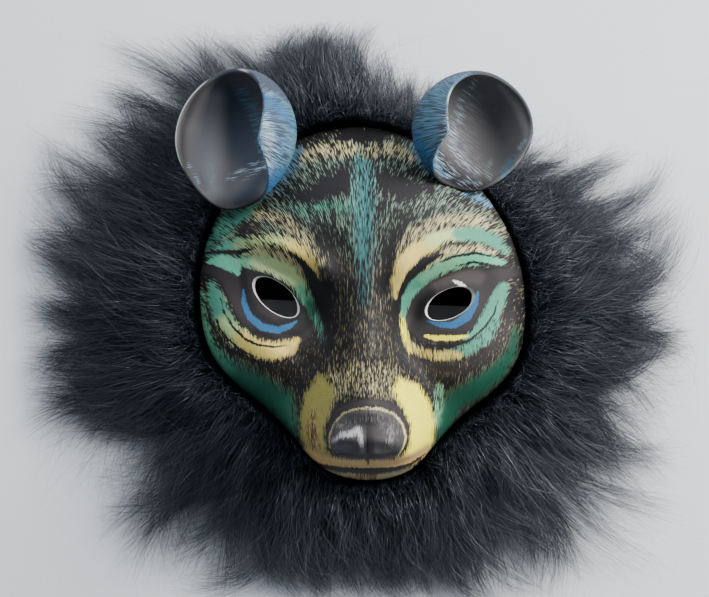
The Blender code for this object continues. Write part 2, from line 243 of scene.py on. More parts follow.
@dataclass(frozen=True)
class FaceForm:
    """The pressed foam face as a height over the plane of its rim, in millimetres.

    The face's own frame is (u, v) from between the eyes, v towards the ears. Inside the rim R at an angle,
    the height is rim plus skirt plus (1 - (r/R) squared) to half of roundness, times the plateau: a level
    with rounded bumps and dents, each exp(-(distance in its ellipse) to twice its power).
    """

    x: float = 2.35
    y: float = 7.495
    skew_y: float = -0.033
    skew_x: float = -0.018
    rim_z: float = 3.0
    skirt: float = 2.0
    level: float = 46.0
    roundness: float = 0.58
    wall: float = 2.5
    rim: Rows = (
        # angle_deg from the chin, radius
        (0, 93.5), (14, 91.0), (26, 83.0), (36, 79.0), (45, 78.5), (55, 81.5), (68, 85.5), (90, 86.0),
        (120, 87.0), (150, 89.0), (180, 92.0),
    )
    forms: Sequence[tuple] = (
        # name, u, v, half_u, half_v, turn_deg, power, height, mirrored
        ("forehead", 0, 48, 56, 32, 0, 1.3, 12, 0),
        ("forehead_groove", 0, 58, 5, 26, 0, 1, -2, 0),
        ("temple_dent", 66, 34, 16, 12, 30, 1, -4, 1),
        ("brow", 41, 24, 29, 8, 22, 1.1, 6, 1),
        ("brow_root", 19, 13, 7, 15, -14, 1, 4, 1),
        ("eye_socket", 43, 2, 25, 16, 30, 1.4, -9, 1),
        ("eyelid", 44, 1, 18, 12, 33, 1.7, 5, 1),
        ("tear_dent", 22, -8, 8, 14, -20, 1, -5, 1),
        ("cheek", 57, -27, 25, 18, 35, 1.3, 9, 1),
        ("bridge", 0, -10, 13, 36, 0, 1.2, 8, 0),
        ("snout_slope", 0, -32, 19, 20, 0, 1.2, 9, 0),
        ("muzzle", 0, -65, 34.5, 32, 0, 2.8, 41, 0),
        ("muzzle_front", 0, -74, 28, 13, 0, 1.8, 15, 0),
        ("muzzle_jowl", 25, -69, 12, 17, -14, 1.3, 7, 1),
        ("nose", 0, -62, 19.5, 13.5, 0, 3, 9, 0),
        ("nose_groove", 0, -69, 2.6, 9, 0, 1.2, -2.5, 0),
        ("nostril", 9.5, -70, 6.5, 3, -14, 1.2, -4, 1),
    )
    fine_forms: Sequence[tuple] = (
        ("nose_edge", 0, -61, 18, 12, 0, 7, 1.6, 0),
        ("nose_wing", 11, -63, 7.5, 7, 20, 1.4, 1.2, 1),
        ("lid_fold", 41, 13, 19, 2.2, 24, 1, -1.6, 1),
        ("lower_lid", 43, -13, 17, 3, 14, 1, 1.1, 1),
        ("cheek_fold", 48, -21, 22, 2.4, 24, 1, -0.9, 1),
        ("muzzle_fold", 37, -55, 3, 15, -16, 1, -1.4, 1),
    )
    mouth_v: float = -80.0
    mouth_rise: float = 5.5
    mouth_half: float = 30.0
    mouth_width: float = 2.6
    mouth_depth: float = 6.0

    def rim_radius(self, theta: Array) -> Array:
        """The rim's radius at an angle from +u, the same on both sides of the chin."""
        from_chin = np.abs((np.degrees(theta) + 270) % 360 - 180)
        return smooth_table(from_chin, self.rim, mirrored=True)

    @staticmethod
    def bump(u: Array, v: Array, row: tuple, side: int) -> Array:
        """A table row's bump on one side: exp of minus the squared distance in its ellipse to its power."""
        _, centre_u, centre_v, half_u, half_v, turn_deg, power, height, _ = row
        turn = math.radians(turn_deg) * side
        du, dv = u - centre_u * side, v - centre_v
        along = (du * math.cos(turn) + dv * math.sin(turn)) / half_u
        across = (-du * math.sin(turn) + dv * math.cos(turn)) / half_v
        return height * np.exp(-((along**2 + across**2) ** power))

    def plateau(self, u: Array, v: Array) -> Array:
        """The level with every bump and dent and the crease of the mouth, a narrow dent along a parabola."""
        z = np.full(np.shape(u), self.level)
        for row in (*self.forms, *self.fine_forms):
            z = z + self.bump(u, v, row, 1)
            if row[-1]:
                z = z + self.bump(u, v, row, -1)
        line = self.mouth_v + self.mouth_rise * (u / self.mouth_half) ** 2
        fade = np.exp(-((u / self.mouth_half) ** 6))
        return z - self.mouth_depth * fade * np.exp(-(((v - line) / self.mouth_width) ** 2))

    def height(self, u: Array, v: Array) -> Array:
        """The outer skin's height at (u, v)."""
        share = np.hypot(u, v) / self.rim_radius(np.arctan2(v, u))
        edge = np.clip(1 - share**2, 0, None) ** (self.roundness / 2)
        return self.rim_z + self.skirt + edge * self.plateau(u, v)

    def place(self, u: Array, v: Array, z: Array) -> Array:
        """Points of the face's frame in the part's frame, in metres."""
        x = self.x + u + self.skew_x * v
        y = self.y + v + self.skew_y * u
        return np.stack(np.broadcast_arrays(x, y, z), axis=-1) * MM

    def normals(self, u: Array, v: Array, step: float = 0.15) -> Array:
        """Unit normals of the skin, from the height's central differences."""
        slope_u = (self.height(u + step, v) - self.height(u - step, v)) / (2 * step)
        slope_v = (self.height(u, v + step) - self.height(u, v - step)) / (2 * step)
        whole = np.stack([-slope_u, -slope_v, np.ones_like(slope_u)], axis=-1)
        return whole / np.linalg.norm(whole, axis=-1, keepdims=True)


@dataclass(frozen=True)
class FrontView:
    """The flat layout of the print, as it is seen from in front of the face.

    A layout unit is half a millimetre at the eyes' height. x runs to the right and y down, and nearer places
    spread out as they do in a view from eye_distance above the ground.
    """

    x: float = -1.9
    y: float = 8.745
    eye_distance: float = 700.0
    eyes_z: float = 50.0
    unit: float = 0.5
    middle: tuple[float, float] = (354.5, 298.5)

    def layout(self, points: Array) -> tuple[Array, Array]:
        """Layout places of points given in metres."""
        near = (self.eye_distance - self.eyes_z) / (self.eye_distance - points[:, 2] / MM)
        x = self.middle[0] + (points[:, 0] / MM - self.x) * near / self.unit
        y = self.middle[1] - (points[:, 1] / MM - self.y) * near / self.unit
        return x, y


@dataclass(frozen=True)
class EyeHole:
    """An oval eye hole in the face's frame, in millimetres."""

    side: Side
    u: float
    v: float
    half_long: float
    half_short: float
    tilt_deg: float

    def reach(self, u: Array, v: Array) -> Array:
        """How far a place is from the hole's middle, counted in the oval's own radius there."""
        tilt = math.radians(self.tilt_deg)
        du, dv = u - self.u, v - self.v
        along = (du * math.cos(tilt) + dv * math.sin(tilt)) / self.half_long
        across = (-du * math.sin(tilt) + dv * math.cos(tilt)) / self.half_short
        return np.hypot(along, across)

    def loop(self, share: float, count: int) -> tuple[Array, Array]:
        """A loop of places at a share of the oval's size."""
        tilt = math.radians(self.tilt_deg)
        angle = np.arange(count) * 2 * math.pi / count
        along = self.half_long * share * np.cos(angle)
        across = self.half_short * share * np.sin(angle)
        u = self.u + along * math.cos(tilt) - across * math.sin(tilt)
        v = self.v + along * math.sin(tilt) + across * math.cos(tilt)
        return u, v


EYE_HOLES = (
    EyeHole(Side.LEFT, -44.0, 0.6, 14.0, 7.4, -38.0),
    EyeHole(Side.RIGHT, 44.0, 0.2, 13.8, 7.2, 27.0),
)


@dataclass(frozen=True)
class FlowField:
    """The lie of the printed hairs, as two numbers that count along and across them in layout units.

    Directions between the rows are their average, weighted by one over the squared distance plus a blur,
    squared. The two numbers are the functions whose slopes come nearest to those directions by least
    squares: both solve Poisson's equation on a grid with free edges, which mirrored Fourier transforms do.
    """

    corner: tuple[float, float] = (170.0, 100.0)
    size: tuple[float, float] = (390.0, 410.0)
    cells: int = 130
    rows: Rows = (
        # x, y, angle_deg counter-clockwise from the right, left half and middle only
        (363, 470, 90), (363, 400, 90), (363, 330, 90), (363, 250, 91), (363, 190, 90), (363, 130, 90),
        (345, 380, 92), (345, 300, 93), (345, 230, 95), (340, 160, 96), (325, 330, 97), (325, 285, 104),
        (318, 250, 112), (312, 150, 106), (300, 235, 130), (300, 200, 122), (285, 255, 142),
        (275, 180, 140), (270, 215, 148), (262, 262, 158), (235, 245, 168), (230, 215, 162),
        (205, 240, 172), (215, 270, 172), (202, 300, 150), (220, 310, 128), (210, 345, 140),
        (238, 338, 128), (240, 375, 138), (262, 355, 106), (285, 355, 84), (300, 350, 74), (275, 395, 120),
        (305, 375, 96), (322, 385, 100), (300, 415, 104), (296, 445, 112), (320, 462, 130),
        (345, 475, 100),
    )
    axis_x: float = 364.0
    blur: float = 60.0
    inset: float = 0.001

    def direction(self, x: Array, y: Array) -> Array:
        """Unit directions at layout places, y still down."""
        rows = np.array(self.rows)
        other = rows.copy()
        other[:, 0] = 2 * self.axis_x - rows[:, 0]
        other[:, 2] = 180 - rows[:, 2]
        rows = np.concatenate([rows, other])
        far = (x[..., None] - rows[:, 0]) ** 2 + (y[..., None] - rows[:, 1]) ** 2
        weight = 1.0 / (far + self.blur) ** 2
        angle = np.radians(rows[:, 2])
        whole = np.stack([(weight * np.cos(angle)).sum(-1), -(weight * np.sin(angle)).sum(-1)], axis=-1)
        return whole / np.linalg.norm(whole, axis=-1, keepdims=True)

    @staticmethod
    def potential(slope_x: Array, slope_y: Array, step_x: float, step_y: float) -> Array:
        """The grid function whose slopes are nearest to the given ones, by a mirrored Fourier transform."""
        flow_x = 0.5 * (slope_x[:, 1:] + slope_x[:, :-1]) * step_x
        flow_y = 0.5 * (slope_y[1:] + slope_y[:-1]) * step_y
        source = np.zeros_like(slope_x)
        source[:, :-1] += flow_x / step_x**2
        source[:, 1:] -= flow_x / step_x**2
        source[:-1] += flow_y / step_y**2
        source[1:] -= flow_y / step_y**2
        mirrored = np.concatenate([source, source[::-1]], axis=0)
        mirrored = np.concatenate([mirrored, mirrored[:, ::-1]], axis=1)
        wave_y = 2 * np.cos(2 * math.pi * np.arange(mirrored.shape[0]) / mirrored.shape[0]) - 2
        wave_x = 2 * np.cos(2 * math.pi * np.arange(mirrored.shape[1]) / mirrored.shape[1]) - 2
        scale = wave_y[:, None] / step_y**2 + wave_x[None, :] / step_x**2
        scale[0, 0] = 1.0
        spectrum = np.fft.fft2(mirrored) / scale
        spectrum[0, 0] = 0.0
        return np.fft.ifft2(spectrum).real[: source.shape[0], : source.shape[1]]

    def along_and_across(self, x: Array, y: Array) -> Array:
        """The two numbers at layout places, and a zero, by even blends of the grid's corners."""
        grid_x = np.linspace(self.corner[0], self.corner[0] + self.size[0], self.cells)
        grid_y = np.linspace(self.corner[1], self.corner[1] + self.size[1], self.cells)
        across_x, down_y = np.meshgrid(grid_x, grid_y)
        way = self.direction(across_x, down_y)
        steps = (grid_x[1] - grid_x[0], grid_y[1] - grid_y[0])
        along = self.potential(way[..., 0], way[..., 1], *steps)
        across = self.potential(-way[..., 1], way[..., 0], *steps)
        last = self.cells - 1 - self.inset
        fx = np.clip((x - grid_x[0]) / steps[0], 0, last)
        fy = np.clip((y - grid_y[0]) / steps[1], 0, last)
        i, j = fy.astype(int), fx.astype(int)
        ty, tx = fy - i, fx - j
        result = []
        for table in (along, across):
            upper = table[i, j] * (1 - tx) + table[i, j + 1] * tx
            lower = table[i + 1, j] * (1 - tx) + table[i + 1, j + 1] * tx
            result.append(upper * (1 - ty) + lower * ty)
        return np.stack([*result, np.zeros_like(result[0])], axis=-1)


@dataclass(frozen=True)
class Mark:
    """A printed band along a line of x, y and half-width: its ink, how fully it covers, and its soft edge."""

    ink: Ink
    cover: float
    soft: float
    rows: Rows
    end_cover: float | None = None

    def lay(self, x: Array, y: Array) -> tuple[Array, Array]:
        """Where the band lies.

        Args:
            x: Layout places across.
            y: Layout places down.

        Returns:
            The band's share at each place, and its cover there, which runs evenly from start to end.
        """
        points = np.array(self.rows, float)
        best = np.full(x.shape, np.inf)
        place = np.zeros(x.shape)
        runs = np.linalg.norm(np.diff(points[:, :2], axis=0), axis=1)
        reached = np.concatenate([[0], np.cumsum(runs)]) / runs.sum()
        for k in range(len(points) - 1):
            start, way = points[k, :2], points[k + 1, :2] - points[k, :2]
            t = np.clip(((x - start[0]) * way[0] + (y - start[1]) * way[1]) / (way @ way), 0, 1)
            far = np.hypot(x - start[0] - t * way[0], y - start[1] - t * way[1])
            beyond = far - (points[k, 2] + t * (points[k + 1, 2] - points[k, 2]))
            nearer = beyond < best
            best = np.where(nearer, beyond, best)
            place = np.where(nearer, reached[k] + t * (reached[k + 1] - reached[k]), place)
        end = self.cover if self.end_cover is None else self.end_cover
        return 1 - smooth_step(-self.soft, self.soft, best), self.cover + (end - self.cover) * place


@dataclass(frozen=True)
class Patch:
    """A printed area inside a closed line: its ink, how fully it covers, its soft edge, and its corners."""

    ink: Ink
    cover: float
    soft: float
    corners: Rows

    def lay(self, x: Array, y: Array) -> tuple[Array, Array]:
        """The area's share at each place, from the signed distance to its outline, and its cover."""
        corners = np.array(self.corners, float)
        following = np.roll(corners, -1, axis=0)
        nearest = np.full(x.shape, np.inf)
        inside = np.zeros(x.shape, bool)
        for start, end in zip(corners, following):
            way = end - start
            t = np.clip(((x - start[0]) * way[0] + (y - start[1]) * way[1]) / (way @ way), 0, 1)
            nearest = np.minimum(nearest, np.hypot(x - start[0] - t * way[0], y - start[1] - t * way[1]))
            crosses = (start[1] > y) != (end[1] > y)
            at = start[0] + (y - start[1]) * way[0] / (way[1] if way[1] else TINY)
            inside ^= crosses & (x < at)
        signed = np.where(inside, -nearest, nearest)
        return 1 - smooth_step(-self.soft, self.soft, signed), np.full(x.shape, self.cover)


FACE_PRINT: Sequence[Mark | Patch] = (
    # forehead, temples and bridge
    Patch(Ink.DUN, 0.15, 16, (
        (335, 262), (392, 262), (402, 330), (425, 372), (425, 405), (308, 405), (308, 372), (326, 330),
    )),
    Patch(Ink.SAGE, 0.21, 12, (
        (262, 212), (300, 150), (345, 134), (385, 134), (430, 148), (475, 192), (440, 240), (400, 236),
        (363, 275), (325, 236), (280, 240),
    )),
    Mark(Ink.TEAL, 0.42, 9, ((350, 208, 5), (320, 206, 6), (295, 212, 5), (268, 222, 5)), 0.34),
    Mark(Ink.SAGE, 0.15, 9, ((378, 210, 6), (400, 205, 6), (430, 200, 5), (445, 192, 4)), 0.36),
    Mark(Ink.TEAL, 0.62, 8, ((205, 246, 5), (225, 226, 9), (243, 206, 8), (262, 192, 5))),
    Mark(Ink.TEAL, 0.97, 5, ((238, 218, 3), (246, 214, 4), (254, 211, 3))),
    Mark(Ink.SAGE, 0.28, 9, ((262, 214, 5), (285, 214, 6), (302, 224, 4))),
    Mark(Ink.SAGE, 0.36, 9, ((462, 212, 6), (480, 218, 8), (500, 232, 5))),
    Mark(Ink.BLACK, 0.03, 9, ((296, 200, 3), (320, 190, 9), (343, 180, 10))),
    Mark(Ink.BLACK, 0.03, 9, ((384, 180, 9), (405, 190, 9), (430, 188, 3))),
    Mark(Ink.BLACK, 0.1, 8, ((322, 226, 4), (333, 242, 8), (336, 262, 7), (342, 290, 4))),
    Mark(Ink.BLACK, 0.1, 8, ((403, 222, 7), (393, 240, 8), (388, 262, 7), (382, 290, 4))),
    Mark(Ink.SEA, 0.52, 6, (
        (363, 158, 8), (363, 175, 11), (363, 215, 12), (364, 245, 9), (364, 300, 7),
    ), 0.22),
    Mark(Ink.BLACK, 0.04, 8, ((345, 136, 6), (380, 136, 6))),
    Mark(Ink.CREAM, 0.42, 6, ((303, 156, 4), (325, 150, 6), (350, 149, 6))),
    Mark(Ink.CREAM, 0.44, 6, ((367, 151, 6), (392, 149, 6), (412, 156, 4))),
    Mark(Ink.STEEL, 0.5, 5, ((262, 196, 2), (274, 184, 6), (288, 168, 7), (298, 150, 5))),
    Mark(Ink.STEEL, 0.5, 5, ((413, 148, 4), (426, 162, 6), (440, 172, 6), (448, 180, 2))),
    Mark(Ink.SKY, 0.5, 4, ((466, 192, 3), (478, 198, 4), (490, 206, 2))),
    # inner corners of the eyes and sides of the bridge
    Mark(Ink.BLACK, 0.03, 8, ((326, 288, 5), (324, 320, 10), (316, 352, 9), (306, 376, 7)), 0.10),
    Mark(Ink.BLACK, 0.04, 7, ((398, 300, 4), (398, 330, 8), (410, 366, 9), (428, 384, 6)), 0.12),
    # brows
    Mark(Ink.CREAM, 0.34, 6, ((258, 214, 5), (285, 222, 6), (305, 238, 6), (320, 262, 4))),
    Mark(Ink.CREAM, 0.42, 6, ((400, 252, 3), (412, 234, 6), (440, 222, 6), (475, 220, 6), (500, 232, 3))),
    Mark(Ink.TEAL, 0.85, 5, ((210, 254, 3), (225, 249, 6), (242, 244, 6))),
    Mark(Ink.LIME, 0.7, 7, ((238, 246, 3), (258, 241, 5), (278, 240, 5), (288, 244, 4))),
    Mark(Ink.YELLOW, 0.84, 5, ((286, 242, 3), (300, 250, 6), (310, 264, 5), (318, 280, 0.5))),
    Mark(Ink.YELLOW, 0.95, 3.5, (
        (396, 297, 1), (398, 280, 6), (404, 264, 8), (418, 250, 8), (434, 242, 7),
    )),
    Mark(Ink.LIME, 0.92, 3.5, ((430, 241, 6), (448, 235, 6), (462, 234, 5))),
    Mark(Ink.TEAL, 0.9, 4, ((458, 234, 6), (478, 235, 8), (494, 241, 7), (506, 251, 3))),
    Mark(Ink.CREAM, 0.55, 4, ((246, 252, 3), (268, 254, 5), (288, 260, 5), (300, 270, 4), (306, 280, 1))),
    Mark(Ink.CREAM, 0.55, 4, ((420, 276, 2), (432, 262, 4), (450, 252, 4), (478, 249, 5), (496, 254, 2))),
    Mark(Ink.BLACK, 0.0, 1.6, ((204, 253, 1), (218, 252, 2.2), (240, 252, 2.2), (252, 249, 0.6))),
    Mark(Ink.BLACK, 0.0, 2, (
        (290, 252, 0.5), (302, 262, 3), (312, 276, 5), (318, 294, 6), (322, 316, 5), (328, 345, 5),
    )),
    Mark(Ink.BLACK, 0.0, 2, ((397, 318, 2), (402, 294, 4), (410, 277, 5), (424, 263, 4), (442, 254, 1))),
    # eyes
    Patch(Ink.UMBER, 0.0, 2.5, (
        (236, 276), (250, 268), (276, 272), (297, 283), (307, 300), (309, 320), (296, 333), (270, 335),
        (250, 324), (238, 304),
    )),
    Patch(Ink.UMBER, 0.0, 2.5, (
        (412, 324), (416, 304), (430, 288), (452, 278), (480, 278), (490, 296), (482, 318), (462, 334),
        (432, 338),
    )),
    Mark(Ink.UMBER, 0.0, 2, (
        (196, 268, 3), (212, 270, 5), (230, 278, 9), (238, 296, 9), (248, 320, 8), (268, 336, 6),
        (300, 334, 8), (312, 318, 9), (302, 300, 8),
    )),
    Mark(Ink.BLACK, 0.0, 5, ((256, 332, 3), (276, 337, 4), (298, 332, 6), (310, 318, 7), (304, 300, 4))),
    Mark(Ink.UMBER, 0.0, 2, (
        (522, 272, 3), (505, 274, 6), (488, 280, 9), (486, 298, 9), (476, 318, 8), (452, 331, 7),
        (424, 334, 8), (414, 322, 9), (418, 304, 8), (432, 286, 7),
    )),
    Mark(Ink.TAUPE, 0.0, 4, ((436, 284, 5), (456, 275, 6), (478, 277, 7))),
    Mark(Ink.BLACK, 0.0, 3, (
        (243, 276, 4), (246, 296, 4), (256, 314, 4), (276, 325, 4), (296, 320, 4), (302, 300, 4),
        (290, 282, 3),
    )),
    Mark(Ink.BLACK, 0.0, 4, ((420, 316, 4), (424, 304, 6), (432, 294, 4))),
    Mark(Ink.MINT, 0.99, 1.8, ((208, 262, 1.5), (222, 261, 6), (234, 266, 7), (238, 275, 2))),
    Mark(Ink.FERN, 0.99, 6, ((238, 261, 3), (250, 261, 5), (262, 263, 5))),
    Mark(Ink.PISTACHIO, 0.99, 4.5, ((256, 262, 6), (274, 266, 8), (289, 274, 8), (300, 285, 5))),
    Mark(Ink.FERN, 0.97, 6, ((300, 288, 5), (307, 300, 4))),
    Mark(Ink.JADE, 0.9, 5, ((309, 303, 3.5), (315, 316, 3))),
    Mark(Ink.MOSS, 0.34, 4, ((314, 314, 3), (319, 327, 4), (324, 342, 2))),
    Mark(Ink.LEMON, 0.8, 1.8, ((411, 352, 2), (406, 340, 3), (403, 325, 2.6), (403, 314, 2.6))),
    Mark(Ink.TEAL, 0.99, 2, ((403, 316, 2.5), (406, 300, 4.5), (414, 287, 6), (424, 278, 6))),
    Mark(Ink.FERN, 0.99, 4, ((424, 279, 4), (438, 269, 6), (458, 261, 6), (472, 259, 4))),
    Mark(Ink.MINT, 0.99, 2.4, ((468, 259, 6), (484, 259, 6), (504, 263, 2))),
    Mark(Ink.BLACK, 0.0, 1.0, ((456, 266, 0.5), (474, 262, 1.3), (490, 265, 1.2), (506, 269, 0.4))),
    Mark(Ink.BLACK, 0.0, 1.0, ((440, 262, 0.4), (456, 256, 1.2), (476, 253, 1.4), (494, 257, 0.6))),
    Mark(Ink.DENIM, 1.0, 0.9, (
        (243, 290, 0.8), (244, 304, 2.6), (250, 317, 3.4), (262, 327, 3.8), (278, 330, 3.6),
        (290, 326, 2.6), (297, 321, 0.8),
    )),
    Mark(Ink.DENIM, 1.0, 0.9, (
        (427, 321, 0.6), (440, 325, 2.4), (454, 325, 3.6), (467, 317, 4.4), (475, 304, 3.2),
        (478, 292, 1.2),
    )),
    Mark(Ink.WHITE, 1.0, 0.9, ((454, 281, 1.2), (461, 284, 2.4), (467, 289, 1.0))),
    # cheeks
    Mark(Ink.BLACK, 0.12, 5, (
        (200, 316, 3), (214, 340, 5), (236, 358, 5), (264, 370, 7), (298, 370, 8), (318, 352, 8),
    )),
    Mark(Ink.UMBER, 0.12, 6, (
        (512, 318, 5), (502, 342, 7), (480, 360, 7), (452, 370, 8), (425, 366, 7), (412, 358, 5),
    )),
    Mark(Ink.FERN, 0.8, 6, ((199, 292, 3), (201, 320, 5), (205, 345, 6))),
    Mark(Ink.JADE, 0.9, 9, ((222, 368, 11), (252, 388, 16), (280, 402, 13), (290, 432, 7))),
    Mark(Ink.MOSS, 0.84, 9, ((199, 326, 4), (208, 350, 8), (222, 370, 11))),
    # painted shade: the lower cheeks beside the muzzle fade to black where the fur shades them
    Mark(Ink.BLACK, 0.05, 8, ((268, 424, 2), (282, 428, 5), (292, 442, 7), (300, 458, 3))),
    Mark(Ink.BLACK, 0.05, 10, ((462, 420, 3), (450, 432, 6), (440, 448, 5))),
    Mark(Ink.PINE, 0.88, 7, (
        (516, 330, 3), (512, 352, 6), (498, 372, 9), (474, 390, 11), (454, 402, 10), (446, 420, 8),
        (440, 444, 4),
    )),
    Mark(Ink.FERN, 0.6, 5, ((440, 388, 3), (438, 404, 3), (436, 424, 3))),
    Mark(Ink.TEAL, 0.95, 4.5, ((212, 284, 3), (215, 298, 7), (221, 314, 8), (229, 325, 7))),
    Mark(Ink.LIME, 0.97, 8, ((224, 322, 5), (234, 333, 7), (242, 340, 6))),
    Mark(Ink.YELLOW, 0.95, 4.5, (
        (242, 339, 7), (256, 348, 8), (274, 351, 8.5), (288, 347, 7), (297, 340, 2),
    )),
    Mark(Ink.BLACK, 0.0, 0.9, (
        (220, 298, 0.2), (224, 312, 0.7), (232, 326, 1.3), (245, 339, 1.4), (258, 345, 1.2),
        (275, 347, 0.9), (288, 345, 0.2),
    )),
    Mark(Ink.BLACK, 0.0, 0.8, ((216, 322, 0.2), (226, 337, 0.9), (240, 350, 1.1), (256, 357, 0.3))),
    Mark(Ink.TEAL, 0.97, 2.8, ((503, 287, 5), (497, 302, 8), (489, 318, 8), (478, 331, 5), (466, 339, 2))),
    Mark(Ink.TEAL, 0.66, 3.5, ((496, 322, 4), (486, 338, 6), (470, 348, 6), (452, 355, 5))),
    Mark(Ink.YELLOW, 0.62, 3, ((458, 355, 4), (436, 356, 4.5), (418, 351, 3.5), (408, 344, 2))),
    Mark(Ink.LEMON, 0.97, 1.2, ((426, 336, 1.4), (436, 338, 2.6), (455, 338, 2.4), (468, 336, 1))),
    Mark(Ink.BLACK, 0.0, 0.9, (
        (498, 300, 0.3), (494, 314, 0.9), (484, 328, 1.2), (470, 340, 1.2), (452, 346, 1.2),
        (432, 346, 0.3),
    )),
    # muzzle
    Patch(Ink.CREAM, 0.22, 9, ((322, 374), (345, 364), (385, 364), (410, 374), (414, 400), (318, 400))),
    # painted shade: the muzzle's left side in a darker copy of its yellow
    Patch(Ink.OLIVE, 0.97, 4, (
        (320, 374), (306, 394), (301, 418), (302, 440), (308, 455), (320, 466), (333, 463), (324, 448),
        (323, 428), (331, 408), (334, 388),
    )),
    Mark(Ink.SAND, 0.4, 5, ((314, 412, 3), (311, 428, 5), (315, 446, 5))),
    Patch(Ink.LEMON, 0.97, 4, (
        (398, 378), (418, 386), (429, 402), (434, 422), (432, 442), (424, 456), (408, 466), (400, 462),
        (410, 446), (411, 426), (402, 406), (394, 390),
    )),
    Mark(Ink.SAND, 0.99, 3, (
        (306, 452, 4), (320, 460, 5), (340, 464, 4.5), (367, 465, 4.5), (395, 464, 4.5), (414, 458, 5),
        (428, 447, 3),
    )),
    Mark(Ink.UMBER, 0.05, 3, (
        (330, 440, 2), (331, 424, 3), (339, 411, 4), (352, 404, 4), (367, 402, 4), (384, 404, 4),
        (398, 412, 4), (407, 426, 3), (408, 440, 1),
    )),
    Mark(Ink.DUN, 1.0, 0.8, (
        (330, 448, 0.2), (329, 437, 0.8), (334.5, 422.5, 0.8), (344, 413, 0.8), (356, 409, 0.8),
        (367, 408, 0.7),
    )),
    Mark(Ink.CREAM, 1.0, 0.8, (
        (367, 408, 0.7), (380, 409, 0.8), (393, 413, 0.9), (402, 423, 1.0), (406, 437, 1.0),
        (403, 448, 0.7), (398, 456, 0.2),
    )),
    Patch(Ink.SLATE, 1.0, 0.9, (
        (367, 409.8), (380, 410.2), (392, 414.4), (400.8, 424), (405, 437), (403, 446.5), (397.4, 455),
        (385, 459.6), (367, 459.5), (350, 459.6), (339.5, 456), (331.3, 446.5), (330, 436.5), (336, 423.4),
        (345, 414.4), (355, 410.2),
    )),
    Mark(Ink.SLATE, 0.0, 1.5, (
        (345, 432, 12), (367, 430, 14), (390, 432, 12), (385, 446, 9), (350, 446, 9),
    )),
    Mark(Ink.STONE, 0.28, 7, ((380, 420, 4), (392, 432, 7), (388, 446, 5))),
    Mark(Ink.STONE, 0.34, 6, ((340, 426, 3), (356, 418, 4), (376, 418, 4))),
    Mark(Ink.PEARL, 0.9, 3.6, (
        (333, 441, 1.0), (341, 436, 2.6), (351, 434, 3.2), (358, 430, 3.0), (361, 437, 2.0),
        (361, 446, 0.6),
    )),
    Mark(Ink.SLATE, 0.0, 2.6, ((341, 443, 2), (350, 442, 3.0), (357, 446, 2))),
    Mark(Ink.BLACK, 0.0, 1.6, (
        (340, 454, 1.5), (352, 455.5, 2.2), (367, 456.5, 2.4), (384, 455.5, 2.2), (397, 453, 1.5),
    )),
    Mark(Ink.BLACK, 0.0, 1.0, ((367.5, 428, 0.3), (367.5, 446, 0.8), (368, 464, 1.2))),
    Mark(Ink.BLACK, 0.0, 1.3, (
        (308, 457, 0.6), (320, 465, 1.4), (340, 469, 2.0), (367, 470.5, 2.4), (394, 469, 2.0),
        (411, 464, 1.4), (425, 454, 0.6),
    )),
    Mark(Ink.DUN, 0.85, 2.0, ((322, 470, 1), (338, 475, 2.6), (356, 477.5, 3.0))),
    Mark(Ink.SAND, 0.4, 2.0, ((350, 478, 3.0), (384, 478, 3.0))),
    Mark(Ink.DUN, 0.85, 2.0, ((380, 477.5, 3.0), (398, 474, 2.6), (412, 468, 1))),
)


@dataclass
class Print:
    """A print as it builds up mark by mark: the ground's colour, and the hairs' colour and cover over it."""

    x: Array
    y: Array
    ground: Array
    cover: Array
    inked: Array = field(init=False)
    first: Ink = Ink.CREAM
    ground_cover: float = 0.14
    least_cover: float = 1e-4

    def __post_init__(self) -> None:
        """Starts the hairs in the first ink; their colours are kept times their cover."""
        self.inked = self.first.linear() * self.cover[:, None]

    def lay(self, marks: Sequence[Mark | Patch], there: Array | float = 1.0) -> None:
        """Lays marks in order, each over the ones before.

        Args:
            marks: The marks. One that stays under ground_cover colours the ground, any other the hairs.
            there: The share of each place that the marks may reach.
        """
        for mark in marks:
            share, amount = mark.lay(self.x, self.y)
            share = share * there
            colour = mark.ink.linear()
            if amount.max() < self.ground_cover:
                self.ground += share[:, None] * (colour - self.ground)
                old = self.inked / np.maximum(self.cover, self.least_cover)[:, None]
                self.inked += share[:, None] * (old * amount[:, None] - self.inked)
            else:
                self.inked += share[:, None] * (colour * amount[:, None] - self.inked)
            self.cover += share * (amount - self.cover)

    def store(self, piece: Piece, lie: Array) -> None:
        """Stores the ink, ground, cover and lie on the piece's points."""
        put_colour(piece, "paint", self.inked / np.maximum(self.cover, self.least_cover)[:, None])
        put_colour(piece, "ground", self.ground)
        put_number(piece, "cover", self.cover)
        put_vector(piece, "lie", lie)


